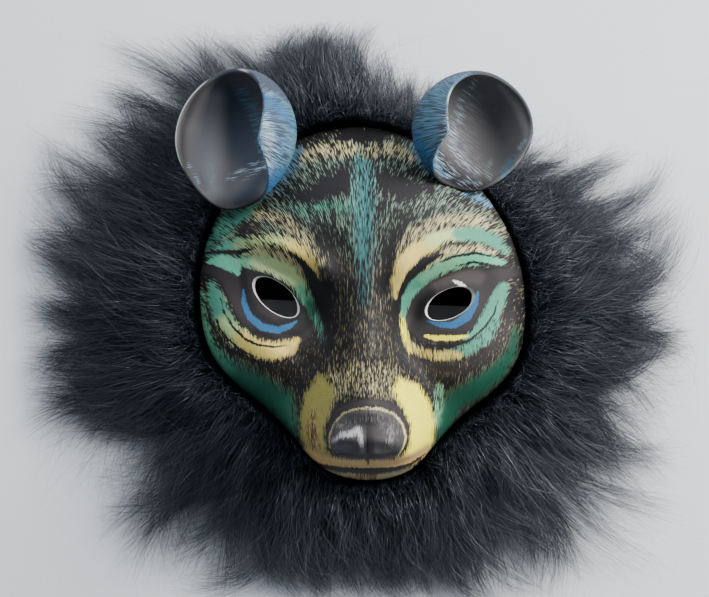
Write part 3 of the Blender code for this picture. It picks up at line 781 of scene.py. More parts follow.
class Shades:
    """A material's node tree with short calls for the nodes that it is made of."""

    def __init__(self, tree: NodeTree) -> None:
        """Holds the tree to build in."""
        self.tree = tree

    def node(self, kind: str, **settings: object) -> Node:
        """A new node of a kind with its settings."""
        made = self.tree.nodes.new(kind)
        for key, value in settings.items():
            setattr(made, key, value)
        return made

    def feed(self, socket: Socket, value: object) -> None:
        """Links a socket into another, or sets it to a plain value."""
        if isinstance(value, Socket):
            self.tree.links.new(value, socket)
        else:
            socket.default_value = value

    def math(self, operation: str, *values: object, clamp: bool = False) -> Socket:
        """The result of a sum or other operation on numbers."""
        made = self.node("ShaderNodeMath", operation=operation, use_clamp=clamp)
        for socket, value in zip(made.inputs, values):
            self.feed(socket, value)
        return made.outputs[0]

    def vector(self, operation: str, *values: object) -> Socket:
        """The result of an operation on vectors."""
        made = self.node("ShaderNodeVectorMath", operation=operation)
        for socket, value in zip(made.inputs, values):
            self.feed(socket, value)
        return made.outputs[0]

    def blend(self, share: object, first: object, second: object) -> Socket:
        """A colour between two colours."""
        made = self.node("ShaderNodeMix", data_type="RGBA")
        for index, value in ((0, share), (6, first), (7, second)):
            self.feed(made.inputs[index], value)
        return made.outputs[2]

    def ramp(
        self, value: object, low: float, high: float, to_low: float = 0.0, to_high: float = 1.0
    ) -> Socket:
        """A number carried evenly from one range to another and held at its ends."""
        made = self.node("ShaderNodeMapRange", clamp=True)
        for index, item in enumerate((value, low, high, to_low, to_high)):
            self.feed(made.inputs[index], item)
        return made.outputs[0]

    def noise(self, vector: object, scale: float, detail: float = 2.0, roughness: float = 0.5) -> Socket:
        """Soft noise from 0 to 1 in three dimensions."""
        made = self.node("ShaderNodeTexNoise", noise_dimensions="3D")
        self.feed(made.inputs["Vector"], vector)
        self.feed(made.inputs["Scale"], scale)
        self.feed(made.inputs["Detail"], detail)
        self.feed(made.inputs["Roughness"], roughness)
        return made.outputs["Fac"]

    def cells(self, vector: object, scale: float) -> Socket:
        """The distance to the nearest of scattered points."""
        made = self.node("ShaderNodeTexVoronoi", feature="F1")
        self.feed(made.inputs["Vector"], vector)
        self.feed(made.inputs["Scale"], scale)
        self.feed(made.inputs["Randomness"], 1.0)
        return made.outputs["Distance"]

    def attribute(self, name: str, output: str = "Fac") -> Socket:
        """A value stored on the piece's points."""
        return self.node("ShaderNodeAttribute", attribute_name=name).outputs[output]

    def place(self) -> tuple[Socket, Sequence[Socket]]:
        """The place on the piece in metres, whole and as its three parts."""
        whole = self.node("ShaderNodeTexCoord").outputs["Object"]
        parts = self.node("ShaderNodeSeparateXYZ")
        self.feed(parts.inputs[0], whole)
        return whole, parts.outputs

    def scaled(self, colour: object, share: Socket) -> Socket:
        """A colour times a number."""
        made = self.node("ShaderNodeVectorMath", operation="SCALE")
        self.feed(made.inputs[0], colour)
        self.feed(made.inputs["Scale"], share)
        return made.outputs[0]

    def raise_surface(self, shader: Node, height: Socket, relief: float, share: float = 1.0) -> None:
        """Gives a shader fine relief.

        Args:
            shader: The Principled shader.
            height: The height, 1 for a full rise.
            relief: A full rise in metres.
            share: How strongly the relief shows.
        """
        bump = self.node("ShaderNodeBump")
        bump.inputs["Strength"].default_value = share
        bump.inputs["Distance"].default_value = relief
        self.feed(bump.inputs["Height"], height)
        self.feed(shader.inputs["Normal"], bump.outputs[0])

    def group(self, tree: NodeTree, **values: object) -> Node:
        """A shared effect with its inputs set by name, underscores standing for spaces."""
        made = self.node("ShaderNodeGroup", node_tree=tree)
        for key, value in values.items():
            self.feed(made.inputs[key.replace("_", " ")], value)
        return made


@dataclass
class Effects:
    """The effects that several materials share, each a node group built once."""

    hair_strokes: NodeTree = field(init=False)
    knit: NodeTree = field(init=False)

    def __post_init__(self) -> None:
        """Builds every group."""
        self.hair_strokes = self.build_hair_strokes()
        self.knit = self.build_knit()

    @staticmethod
    def start(name: str, inputs: Sequence[tuple], outputs: Sequence[tuple]) -> tuple:
        """Starts a group with its sockets.

        Args:
            name: The group's name.
            inputs: Name, socket type and plain value of each input.
            outputs: Name and socket type of each output.

        Returns:
            The tree, its helper, the input node and the output node.
        """
        tree = bpy.data.node_groups.new(name, "ShaderNodeTree")
        for label, kind, value in inputs:
            socket = tree.interface.new_socket(label, in_out="INPUT", socket_type=kind)
            if value is not None:
                socket.default_value = value
        for label, kind in outputs:
            tree.interface.new_socket(label, in_out="OUTPUT", socket_type=kind)
        shades = Shades(tree)
        return tree, shades, shades.node("NodeGroupInput"), shades.node("NodeGroupOutput")

    def build_hair_strokes(self) -> NodeTree:
        """Printed hairs: cells drawn out along the lie of the fur, kept where they pass the cover's level.

        The level sums dashes, fine noise and clumps. What it has to pass falls evenly with the cover near a
        half, and steeply towards bare ground and full ink, as the fifth power of the distance from a half.
        """
        bend_scale, bend_depth = 0.05, 2.0
        fine_stretch, fine_detail, fine_roughness = (0.8, 1.6, 1.0), 3.0, 0.55
        clump_scale = 0.35
        dash_share, fine_share, clump_share = 0.62, 0.9, 0.5
        even_slope, steep_slope, steep_power = 0.45, 14.0, 5.0
        half_level = 1.36
        tree, shades, given, out = self.start(
            "hair_strokes",
            (
                ("Lie", "NodeSocketVector", None),
                ("Cover", "NodeSocketFloat", 0.5),
                ("Length", "NodeSocketFloat", 9.0),
                ("Width", "NodeSocketFloat", 2.0),
                ("Edge", "NodeSocketFloat", 0.12),
            ),
            (("Mask", "NodeSocketFloat"), ("Shade", "NodeSocketFloat")),
        )
        parts = shades.node("ShaderNodeSeparateXYZ")
        shades.feed(parts.inputs[0], given.outputs["Lie"])
        lie = shades.node("ShaderNodeCombineXYZ")
        shades.feed(lie.inputs[0], shades.math("DIVIDE", parts.outputs[0], given.outputs["Length"]))
        shades.feed(lie.inputs[1], shades.math("DIVIDE", parts.outputs[1], given.outputs["Width"]))
        bent = shades.noise(given.outputs["Lie"], bend_scale, 1.0)
        shades.feed(lie.inputs[2], shades.math("MULTIPLY", bent, bend_depth))
        drawn = lie.outputs[0]
        dashes = shades.cells(drawn, 1.0)
        fine = shades.noise(shades.vector("MULTIPLY", drawn, fine_stretch), 1.0, fine_detail, fine_roughness)
        clump = shades.noise(drawn, clump_scale, 1.0)
        level = shades.math("SUBTRACT", 1.0, shades.math("MULTIPLY", dashes, dash_share))
        level = shades.math("ADD", level, shades.math("MULTIPLY", fine, fine_share))
        level = shades.math("ADD", level, shades.math("MULTIPLY", clump, clump_share))
        middle = shades.math("SUBTRACT", given.outputs["Cover"], 0.5)
        steep = shades.math("POWER", shades.math("ABSOLUTE", middle), steep_power)
        steep = shades.math("MULTIPLY", steep, steep_slope)
        steep = shades.math("MULTIPLY", steep, shades.math("SIGN", middle))
        passed = shades.math("ADD", shades.math("MULTIPLY", middle, even_slope), steep)
        passed = shades.math("SUBTRACT", half_level, passed)
        over = shades.math("DIVIDE", shades.math("SUBTRACT", level, passed), given.outputs["Edge"])
        shades.feed(out.inputs["Mask"], shades.math("ADD", over, 0.5, clamp=True))
        shades.feed(out.inputs["Shade"], fine)
        return tree

    def build_knit(self) -> NodeTree:
        """Fine knit: two crossed waves of the stitch's pitch, raised where both crest, with a little fuzz."""
        slant, wave_share, fuzz_scale, fuzz_roughness, lowest_tone = 0.6, 0.5, 2600.0, 0.6, 0.92
        tree, shades, given, out = self.start(
            "fine_knit",
            (
                ("Pitch", "NodeSocketFloat", 0.0006),
                ("Fuzz", "NodeSocketFloat", 0.3),
                ("Contrast", "NodeSocketFloat", 0.16),
            ),
            (("Height", "NodeSocketFloat"), ("Tone", "NodeSocketFloat")),
        )
        place, parts = shades.place()
        turn = shades.math("DIVIDE", 2 * math.pi, given.outputs["Pitch"])
        along = shades.math("SINE", shades.math("MULTIPLY", parts[0], turn))
        rise = shades.math("ADD", parts[1], shades.math("MULTIPLY", parts[2], slant))
        up = shades.math("SINE", shades.math("MULTIPLY", rise, turn))
        crossed = shades.math("MULTIPLY", shades.math("MULTIPLY", along, up), wave_share)
        fuzz = shades.noise(place, fuzz_scale, 2.0, fuzz_roughness)
        height = shades.math("ADD", crossed, shades.math("MULTIPLY", fuzz, given.outputs["Fuzz"]))
        tone = shades.math("MULTIPLY", height, given.outputs["Contrast"])
        shades.feed(out.inputs["Height"], height)
        shades.feed(out.inputs["Tone"], shades.math("ADD", tone, lowest_tone))
        return tree


def new_material(name: str) -> tuple[Material, Shades, Node]:
    """A material with its helper and its Principled shader."""
    material = bpy.data.materials.new(name)
    material.use_nodes = True
    return material, Shades(material.node_tree), material.node_tree.nodes["Principled BSDF"]


@dataclass(frozen=True)
class PrintedKnit:
    """Knit cloth over foam, printed with hairs whose colour, cover and lie the piece's points hold."""

    name: str
    stroke_length: float = 5.8
    stroke_width: float = 0.50
    edge: float = 0.16
    roughness: float = 0.62
    duller: float = 0.08
    glossier: float = 0.06
    knit_tone: float = 0.16
    pitch: float = 0.0007
    fuzz: float = 0.4
    hair_tones: Span = (0.82, 1.12)
    specular: float = 0.22
    relief: float = 0.0002
    relief_share: float = 0.25

    def make(self, effects: Effects) -> Material:
        """Builds the material: ground showing between the printed hairs, over a fine knit."""
        material, shades, shader = new_material(self.name)
        strokes = shades.group(
            effects.hair_strokes,
            Lie=shades.attribute("lie", "Vector"),
            Cover=shades.attribute("cover"),
            Length=self.stroke_length,
            Width=self.stroke_width,
            Edge=self.edge,
        )
        knit = shades.group(effects.knit, Pitch=self.pitch, Fuzz=self.fuzz, Contrast=self.knit_tone)
        height = knit.outputs["Height"]
        tint = shades.ramp(strokes.outputs["Shade"], 0.3, 0.7, *self.hair_tones)
        hairs = shades.scaled(shades.attribute("paint", "Color"), tint)
        mixed = shades.blend(strokes.outputs["Mask"], shades.attribute("ground", "Color"), hairs)
        shades.feed(shader.inputs["Base Color"], shades.scaled(mixed, knit.outputs["Tone"]))
        rough = shades.ramp(height, -0.5, 1.0, self.roughness + self.duller, self.roughness - self.glossier)
        shades.feed(shader.inputs["Roughness"], rough)
        shades.raise_surface(shader, height, self.relief, self.relief_share)
        shader.inputs["Specular IOR Level"].default_value = self.specular
        return material


@dataclass(frozen=True)
class CutFoam:
    """White closed-cell foam, as its cut edges and bare back show."""

    name: str = "cut_foam"
    colour: tuple[float, float, float] = (0.78, 0.77, 0.74)
    cell_scale: float = 1800.0
    cell_reach: float = 0.8
    tones: Span = (0.94, 1.0)
    roughness: Span = (0.85, 0.7)
    relief: float = 0.0002
    relief_share: float = 0.3

    def make(self) -> Material:
        """Builds the material: faint cells in colour and relief."""
        material, shades, shader = new_material(self.name)
        place, _ = shades.place()
        cells = shades.cells(place, self.cell_scale)
        tone = shades.ramp(cells, 0.0, self.cell_reach, *self.tones)
        shades.feed(shader.inputs["Base Color"], shades.scaled(self.colour, tone))
        shades.feed(shader.inputs["Roughness"], shades.ramp(cells, 0.0, self.cell_reach, *self.roughness))
        shades.raise_surface(shader, cells, self.relief, self.relief_share)
        return material


@dataclass(frozen=True)
class PileFur:
    """Long synthetic pile: each hair has its own tone, darker at the root, with a cold shine."""

    name: str = "long_pile"
    root: Colour = (0.007, 0.009, 0.013, 1.0)
    dark: Colour = (0.015, 0.020, 0.029, 1.0)
    light: Colour = (0.062, 0.071, 0.084, 1.0)
    root_share: float = 0.16
    roughness: Span = (0.5, 0.34)
    specular: float = 0.24

    def make(self) -> Material:
        """Builds the material from the hair's tone, squared, and the place along it."""
        material, shades, shader = new_material(self.name)
        tone = shades.attribute("tone")
        body = shades.blend(shades.math("POWER", tone, 2.0), self.dark, self.light)
        body_share = shades.ramp(shades.attribute("along"), 0.0, self.root_share)
        shades.feed(shader.inputs["Base Color"], shades.blend(body_share, self.root, body))
        shades.feed(shader.inputs["Roughness"], shades.ramp(tone, 0.0, 1.0, *self.roughness))
        shader.inputs["Specular IOR Level"].default_value = self.specular
        return material


@dataclass(frozen=True)
class UnderFur:
    """The short dark underfur on its cloth backing, seen only between the long hairs and from below."""

    name: str = "under_fur"
    dark: Colour = (0.004, 0.005, 0.007, 1.0)
    light: Colour = (0.018, 0.021, 0.027, 1.0)
    grain_scale: float = 900.0
    roughness: Span = (0.95, 0.75)
    relief: float = 0.001
    relief_share: float = 0.6

    def make(self) -> Material:
        """Builds the material: near black with a fine woven and tufted grain."""
        material, shades, shader = new_material(self.name)
        place, _ = shades.place()
        grain = shades.noise(place, self.grain_scale, 3.0, 0.6)
        shades.feed(shader.inputs["Base Color"], shades.blend(grain, self.dark, self.light))
        shades.feed(shader.inputs["Roughness"], shades.ramp(grain, 0.0, 1.0, *self.roughness))
        shades.raise_surface(shader, grain, self.relief, self.relief_share)
        return material


@dataclass(frozen=True)
class WovenElastic:
    """Black woven elastic: ribs along the band and a fine weft across it."""

    name: str = "woven_elastic"
    dark: Colour = (0.005, 0.005, 0.006, 1.0)
    light: Colour = (0.022, 0.022, 0.024, 1.0)
    rib_pitch: float = 0.0016
    rib_share: float = 0.6
    weft_pitch: float = 0.0008
    weft_share: float = 0.3
    roughness: Span = (0.8, 0.6)
    relief: float = 0.0003

    def make(self) -> Material:
        """Builds the material from waves of the ribs' and the weft's pitch."""
        material, shades, shader = new_material(self.name)
        _, parts = shades.place()
        ribs = shades.math("SINE", shades.math("MULTIPLY", parts[1], 2 * math.pi / self.rib_pitch))
        weft = shades.math("SINE", shades.math("MULTIPLY", parts[0], 2 * math.pi / self.weft_pitch))
        ribs = shades.math("MULTIPLY", ribs, self.rib_share)
        height = shades.math("ADD", ribs, shades.math("MULTIPLY", weft, self.weft_share))
        most = self.rib_share + self.weft_share
        tone = shades.ramp(height, -most, most)
        shades.feed(shader.inputs["Base Color"], shades.blend(tone, self.dark, self.light))
        shades.feed(shader.inputs["Roughness"], shades.ramp(tone, 0.0, 1.0, *self.roughness))
        shades.raise_surface(shader, height, self.relief)
        return material


@dataclass
class FaceShell:
    """The moulded face: a printed skin, and the foam behind it with its white cut edges.

    Drops, folds and the lip round the rim are in millimetres, and shares are of the rim's radius or a hole's
    size. The bead that rounds a hole's edge is such a share with its drop.
    """

    form: FaceForm
    view: FrontView
    flow: FlowField
    cells: int = 296
    foam_cells: int = 88
    hole_points: int = 120
    edge_share: float = 0.97
    # painted shade: how much the print darkens towards the rim, and the share of the radius where that starts
    rim_painted_shade: float = 0.05
    rim_painted_shade_from: float = 0.86
    edge_drop: float = 0.9
    fold_z: float = 0.9
    lip: float = 0.8
    lip_fall: float = 0.25
    lip_foot: float = 0.1
    lip_round: float = 0.3
    bead: Span = (0.985, 0.2)
    cut_over: float = 0.4
    even_share: float = 0.62
    nearest: float = 0.2
    rim_at: float = 0.999
    start_cover: float = 0.12

    def disc_grid(self, cells: int) -> tuple[Array, Array]:
        """A square grid bent into a disc: each square ring becomes a circle, its points evenly round it.

        Args:
            cells: Cells along a side of the grid.

        Returns:
            Each point's share of the rim's radius, eased so that rows close up there, and its angle.
        """
        side = np.linspace(-1, 1, cells + 1)
        a, b = np.meshgrid(side, side)
        wide = np.abs(a) >= np.abs(b)
        radius = np.where(wide, a, b)
        safe_a, safe_b = np.where(a == 0, 1, a), np.where(b == 0, 1, b)
        angle = np.where(wide, math.pi / 4 * b / safe_a, math.pi / 2 - math.pi / 4 * a / safe_b)
        angle = np.where((a == 0) & (b == 0), 0.0, angle)
        x, y = radius * np.cos(angle), radius * np.sin(angle)
        flat = np.hypot(x, y)
        eased = self.even_share * flat + (1 - self.even_share) * np.sin(flat * math.pi / 2)
        return eased, np.arctan2(y, x)

    def dome(self, cells: int, share: float) -> tuple[Array, Array, Array]:
        """The face's plan as a grid with both eye holes cut at a share of their size.

        Args:
            cells: Cells along a side of the grid.
            share: The share of the holes' size to cut.

        Returns:
            The places u and v, and the quads. Points of the cut faces that stay are moved out to the oval.
        """
        radius, theta = self.disc_grid(cells)
        radius = radius * self.form.rim_radius(theta)
        u, v = (radius * np.cos(theta)).ravel(), (radius * np.sin(theta)).ravel()
        quads = grid_faces(cells + 1, cells + 1)
        for hole in EYE_HOLES:
            reach = hole.reach(u, v) / share
            inside = reach < 1
            quads = quads[~inside[quads].all(axis=1)]
            push = np.where(inside, 1 / np.maximum(reach, self.nearest), 1.0)
            u, v = hole.u + (u - hole.u) * push, hole.v + (v - hole.v) * push
        return u, v, quads

    def rim_loop(self, cells: int) -> Array:
        """The numbers of the grid's outer points in order, counter-clockwise."""
        row = np.arange(cells + 1)
        number = row[:, None] * (cells + 1) + row[None, :]
        return np.concatenate([number[0, :-1], number[:-1, -1], number[-1, :0:-1], number[:0:-1, 0]])

    def build_skin(self) -> Piece:
        """The printed skin: the form's height over the cut plan, and a short skirt down to its fold."""
        u, v, quads = self.dome(self.cells, 1.0)
        points = self.form.place(u, v, self.form.height(u, v))
        loop = self.rim_loop(self.cells)
        low = points[loop].copy()
        low[:, 2] = (self.form.rim_z + self.fold_z) * MM
        ring = np.arange(len(loop))
        below = len(points) + ring
        skirt = np.stack([loop, below, np.roll(below, -1), np.roll(loop, -1)], axis=-1)
        share = np.hypot(u, v) / self.form.rim_radius(np.arctan2(v, u))
        share = np.concatenate([share, np.ones(len(low))])
        points, quads, kept = used_only(np.vstack([points, low]), np.vstack([quads, skirt]))
        skin = make_piece("face_skin", points, quads)
        self.print_skin(skin, points, share[kept])
        return skin

    def print_skin(self, skin: Piece, points: Array, share: Array) -> None:
        """Lays the face's marks, and paints shade over the print towards the rim.

        Args:
            skin: The skin.
            points: Its places in metres.
            share: Each place's distance from the middle as a share of the rim's radius.
        """
        x, y = self.view.layout(points)
        ground = np.tile(Ink.BLACK.linear(), (len(points), 1))
        layout = Print(x, y, ground, np.full(len(points), self.start_cover), Ink.DUN)
        layout.lay(FACE_PRINT)
        # painted shade over the ink and the ground towards the rim
        shade = 1 - self.rim_painted_shade * smooth_step(self.rim_painted_shade_from, 1.0, share)[:, None]
        layout.inked *= shade
        layout.ground *= shade
        layout.store(skin, self.flow.along_and_across(x, y))

    def build_foam(self) -> Piece:
        """The foam: its back a wall inside the skin, with cut edges round the rim and round both holes."""
        form = self.form
        u, v, quads = self.dome(self.foam_cells, self.edge_share)
        share = np.hypot(u, v) / form.rim_radius(np.arctan2(v, u))
        inward = form.normals(u, v)
        rim = share > self.rim_at
        level = np.maximum(np.hypot(u, v), TINY)
        inward[rim] = np.stack([u / level, v / level, 0 * u], axis=-1)[rim]
        back = form.place(u, v, form.height(u, v)) - inward * form.wall * MM
        back[:, 2] = np.maximum(back[:, 2], form.rim_z * MM)
        loop = self.rim_loop(self.foam_cells)
        theta = np.arctan2(v[loop], u[loop])
        radius = form.rim_radius(theta)
        rows = [
            (radius, form.rim_z + self.fold_z),
            (radius + self.lip, form.rim_z + self.fold_z - self.lip_fall),
            (radius + self.lip, form.rim_z + self.lip_foot),
            (radius + (self.lip - self.lip_round), form.rim_z),
            (radius - form.wall, form.rim_z),
        ]
        points = [back, *(form.place(r * np.cos(theta), r * np.sin(theta), z) for r, z in rows)]
        faces = [quads[:, ::-1]]
        start = len(back)
        faces.append(grid_faces(len(rows), len(loop), closed=True, first=start, flip=True))
        last = start + (len(rows) - 1) * len(loop) + np.arange(len(loop))
        faces.append(np.stack([last, np.roll(last, -1), np.roll(loop, -1), loop], axis=-1)[:, ::-1])
        count = start + len(rows) * len(loop)
        for hole in EYE_HOLES:
            edge = []
            for size, drop in ((1.0, 0.0), self.bead, (self.edge_share, self.edge_drop)):
                hu, hv = hole.loop(size, self.hole_points)
                edge.append(form.place(hu, hv, form.height(hu, hv) - drop))
            deep = edge[-1].copy()
            deep[:, 2] -= (form.wall + self.cut_over) * MM
            edge.append(deep)
            points += edge
            faces.append(grid_faces(len(edge), self.hole_points, closed=True, first=count))
            count += len(edge) * self.hole_points
        points, quads, _ = used_only(np.vstack(points), np.vstack(faces))
        return make_piece("face_foam", points, quads)

    def build(self, effects: Effects, foam: Material) -> list[Piece]:
        """Builds and dresses both pieces."""
        skin, body = self.build_skin(), self.build_foam()
        skin.data.materials.append(PrintedKnit("printed_face").make(effects))
        body.data.materials.append(foam)
        for piece in (skin, body):
            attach(piece, "root")
            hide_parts("face_shell")
        return [skin, body]


@dataclass
class Ear:
    """One cupped ear: an ellipsoid bowl whose inner wall curls back over the cup.

    Lengths are in millimetres. A curl is how far the bowl is carried up from its bottom, in degrees. Ways
    along the skin run from 0 at the bottom to 1 at the rim's outside, 2 at its inside and 3 in the cup.
    """

    form: FaceForm
    side: Side
    node: str
    u: float
    v: float
    z: float
    half_across: float
    half_long: float
    depth: float
    lean_deg: float
    roll_deg: float
    pitch_deg: float
    curl_inner: float
    curl_outer: float
    curl_foot: float
    pale_rim_deg: Rows
    cup_lie_deg: float
    back_marks: Sequence[Mark | Patch]
    cup_marks: Sequence[Mark | Patch]
    wall: float = 2.0
    rings: int = 60
    rim_rows: int = 7
    spokes: int = 150
    pale_at: float = 1.35
    pale_half: float = 0.13
    pale_fade_deg: float = 10.0
    open_at: float = 1.5
    open_low_by: float = 0.5
    open_low_span: Span = (0.45, 0.95)
    foot_from: float = 0.15
    curl_power: float = 1.5
    taper: float = 0.10
    pinch: float = 0.14
    pole: float = 0.001
    slope_step: float = 0.002
    rim_step: float = 0.01
    sunk: float = 0.4
    start_cover: float = 0.05
    back_lie: Span = (3.0, 1.9)
    cup_lie_depth: float = 9.0

    def surface(self, share: Array, angle: Array) -> Array:
        """The outer skin at a share of the way from the bowl's bottom to its rim, and an angle round it."""
        mix = 0.5 - 0.5 * self.side.value * np.cos(angle)
        curl = self.curl_outer + (self.curl_inner - self.curl_outer) * mix**self.curl_power
        curl = curl + (self.curl_foot - curl) * smooth_step(self.foot_from, 1.0, -np.sin(angle))
        polar = np.radians(share * curl)
        across = self.half_across * np.sin(polar) * np.cos(angle)
        long = self.half_long * np.sin(polar) * np.sin(angle) * (1 - self.taper * np.sin(angle))
        across = across * (1 - self.pinch * (long / self.half_long) ** 2)
        points = np.stack([across, long, -self.depth * np.cos(polar)], axis=-1)
        return points @ self.turns().T * MM + self.form.place(self.u, self.v, self.z)

    def turns(self) -> Array:
        """The ear's turn as a matrix: pitch about X, then roll about Y, then lean about Z."""
        whole = np.eye(3)
        for axis, degrees in enumerate((self.pitch_deg, self.roll_deg, self.lean_deg)):
            c, s = math.cos(math.radians(degrees)), math.sin(math.radians(degrees))
            i, j = ((1, 2), (2, 0), (0, 1))[axis]
            turn = np.eye(3)
            turn[i, i], turn[i, j], turn[j, i], turn[j, j] = c, -s, s, c
            whole = turn @ whole
        return whole

    def holds(self, points: Array) -> Array:
        """True for places inside the ear's full ellipsoid, the cup's air among them."""
        local = (points - self.form.place(self.u, self.v, self.z)) / MM @ self.turns()
        size = np.array([self.half_across, self.half_long * (1 + self.taper), self.depth])
        return ((local / size) ** 2).sum(axis=-1) < 1

    def inward(self, share: Array, angle: Array) -> Array:
        """Unit directions from the outer skin into the wall, from the surface's own slopes."""
        step = self.slope_step
        along = self.surface(share + step, angle) - self.surface(share - step, angle)
        around = self.surface(share, angle + step) - self.surface(share, angle - step)
        normal = np.cross(along, around)
        return normal / np.maximum(np.linalg.norm(normal, axis=-1, keepdims=True), TINY * MM)

    def outside_head(self, points: Array) -> Array:
        """True for points that are not sunk in the face."""
        x, y = points[..., 0] / MM - self.form.x, points[..., 1] / MM - self.form.y
        scale = 1 - self.form.skew_x * self.form.skew_y
        u, v = (x - self.form.skew_x * y) / scale, (y - self.form.skew_y * x) / scale
        inside_rim = np.hypot(u, v) < self.form.rim_radius(np.arctan2(v, u))
        return ~inside_rim | (points[..., 2] / MM > self.form.height(u, v) - self.sunk)

    def rows(self, angle: Array) -> tuple[Array, Array]:
        """The ear's skin as rows of points: up the outside, over the rounded rim, and down into the cup.

        Args:
            angle: The angles round the bowl of the points of a row.

        Returns:
            The places as rows by points by three, and each row's place along the skin: 0 to 1 outside, 1 to 2
            over the rim, 2 to 3 inside.
        """
        way = np.linspace(self.pole, 1, self.rings)
        share = way[:, None] + 0 * angle
        wide = angle + 0 * share
        outer = self.surface(share, wide)
        inner = outer + self.inward(share, wide) * self.wall * MM
        step = self.rim_step
        up = self.surface(share[-1] + step, angle) - self.surface(share[-1] - step, angle)
        up /= np.linalg.norm(up, axis=-1, keepdims=True)
        t = np.linspace(0, 1, self.rim_rows + 2)[1:-1, None, None]
        middle, half = 0.5 * (outer[-1] + inner[-1]), 0.5 * (inner[-1] - outer[-1])
        over = middle - half * np.cos(math.pi * t) + up * np.sin(math.pi * t) * 0.5 * self.wall * MM
        along = np.concatenate([way, 1 + t[:, 0, 0], 3 - way[::-1]])
        return np.concatenate([outer, over, inner[::-1]]), along

    def build_skin(self) -> Piece:
        """The printed skin, cut off where it sinks into the face."""
        angle = np.arange(self.spokes) * 2 * math.pi / self.spokes
        points, along = self.rows(angle)
        flat = points.reshape(-1, 3)
        quads = grid_faces(len(along), self.spokes, closed=True)
        keep = self.outside_head(flat)
        flat, quads, kept = used_only(flat, quads[keep[quads].any(axis=1)])
        piece = make_piece(self.node + "_skin", flat, quads)
        along = np.repeat(along, self.spokes)[kept]
        self.print_ear(piece, flat, along, np.tile(angle, len(points))[kept])
        return piece

    def print_ear(self, piece: Piece, points: Array, along: Array, angle: Array) -> None:
        """Lays the marks of the outside and those of the cup, and the pale line along the rim.

        Args:
            piece: The ear's skin.
            points: Its places in metres.
            along: Each place's way along the skin, as rows() counts it.
            angle: Each place's angle round the bowl.
        """
        x, y = FrontView().layout(points)
        low = smooth_step(*self.open_low_span, -np.sin(angle))
        inside = (along > self.open_at - self.open_low_by * low).astype(float)
        ground = Ink.NIGHT.linear() + inside[:, None] * (Ink.ASH.linear() - Ink.NIGHT.linear())
        layout = Print(x, y, ground, np.full(len(points), self.start_cover), Ink.SKY)
        layout.lay(self.back_marks, 1 - inside)
        layout.lay(self.cup_marks, inside)
        for start, end in self.pale_rim_deg:
            turned = (np.degrees(angle) - start) % 360
            fade = self.pale_fade_deg
            line = smooth_step(0, fade, turned) * smooth_step(0, fade, end - start - turned)
            line *= np.exp(-(((along - self.pale_at) / self.pale_half) ** 2))
            layout.ground += line[:, None] * (Ink.WHITE.linear() - layout.ground)
        turn = math.radians(self.cup_lie_deg)
        down_cup = [x * math.cos(turn) + y * math.sin(turn), y * math.cos(turn) - x * math.sin(turn)]
        up_back = [along * self.half_long * self.back_lie[0], angle * self.half_across * self.back_lie[1]]
        lie = [np.where(inside > 0, cup, back) for cup, back in zip(down_cup, up_back)]
        layout.store(piece, np.stack([*lie, self.cup_lie_depth * inside], axis=-1))

    def build(self, effects: Effects) -> list[Piece]:
        """Builds and dresses the ear."""
        skin = self.build_skin()
        finish = PrintedKnit(self.node + "_print", stroke_length=12.0, stroke_width=0.6, knit_tone=0.30)
        skin.data.materials.append(finish.make(effects))
        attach(skin, "root")
        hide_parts(self.node)
        return [skin]


LEFT_EAR_BACK = (
    Mark(Ink.SKY, 0.24, 7, (
        (232, 80, 4), (246, 98, 9), (258, 114, 12), (267, 132, 13), (272, 150, 13), (272, 166, 11),
        (264, 182, 8),
    ), 0.42),
    Mark(Ink.STEEL, 0.52, 6, (
        (268, 95, 4), (282, 108, 8), (291, 126, 9), (294, 142, 9), (289, 160, 9), (278, 174, 8),
    )),
    Mark(Ink.SEA, 0.5, 5, (
        (275, 96, 2), (292, 112, 3), (299, 132, 3), (298, 150, 4), (290, 168, 6), (276, 182, 6),
        (262, 194, 5),
    )),
    Mark(Ink.FROST, 0.26, 5, ((238, 76, 3), (252, 84, 6), (266, 96, 6))),
    Mark(Ink.NIGHT, 0.1, 4, ((222, 68, 3), (240, 72, 4), (256, 82, 3))),
    Mark(Ink.BLUE, 0.56, 6, ((256, 92, 3), (272, 102, 6), (284, 114, 5), (292, 126, 3))),
    Mark(Ink.FROST, 0.42, 5, ((258, 112, 2), (266, 126, 5), (270, 146, 6), (268, 162, 4))),
    Mark(Ink.BLUE, 0.6, 5, ((284, 170, 3), (274, 182, 6), (262, 194, 5))),
    # painted shade: the ear's foot darkens where it meets the fur
    Mark(Ink.NIGHT, 0.04, 6, ((264, 194, 3), (252, 204, 6), (240, 210, 7), (222, 216, 6))),
)

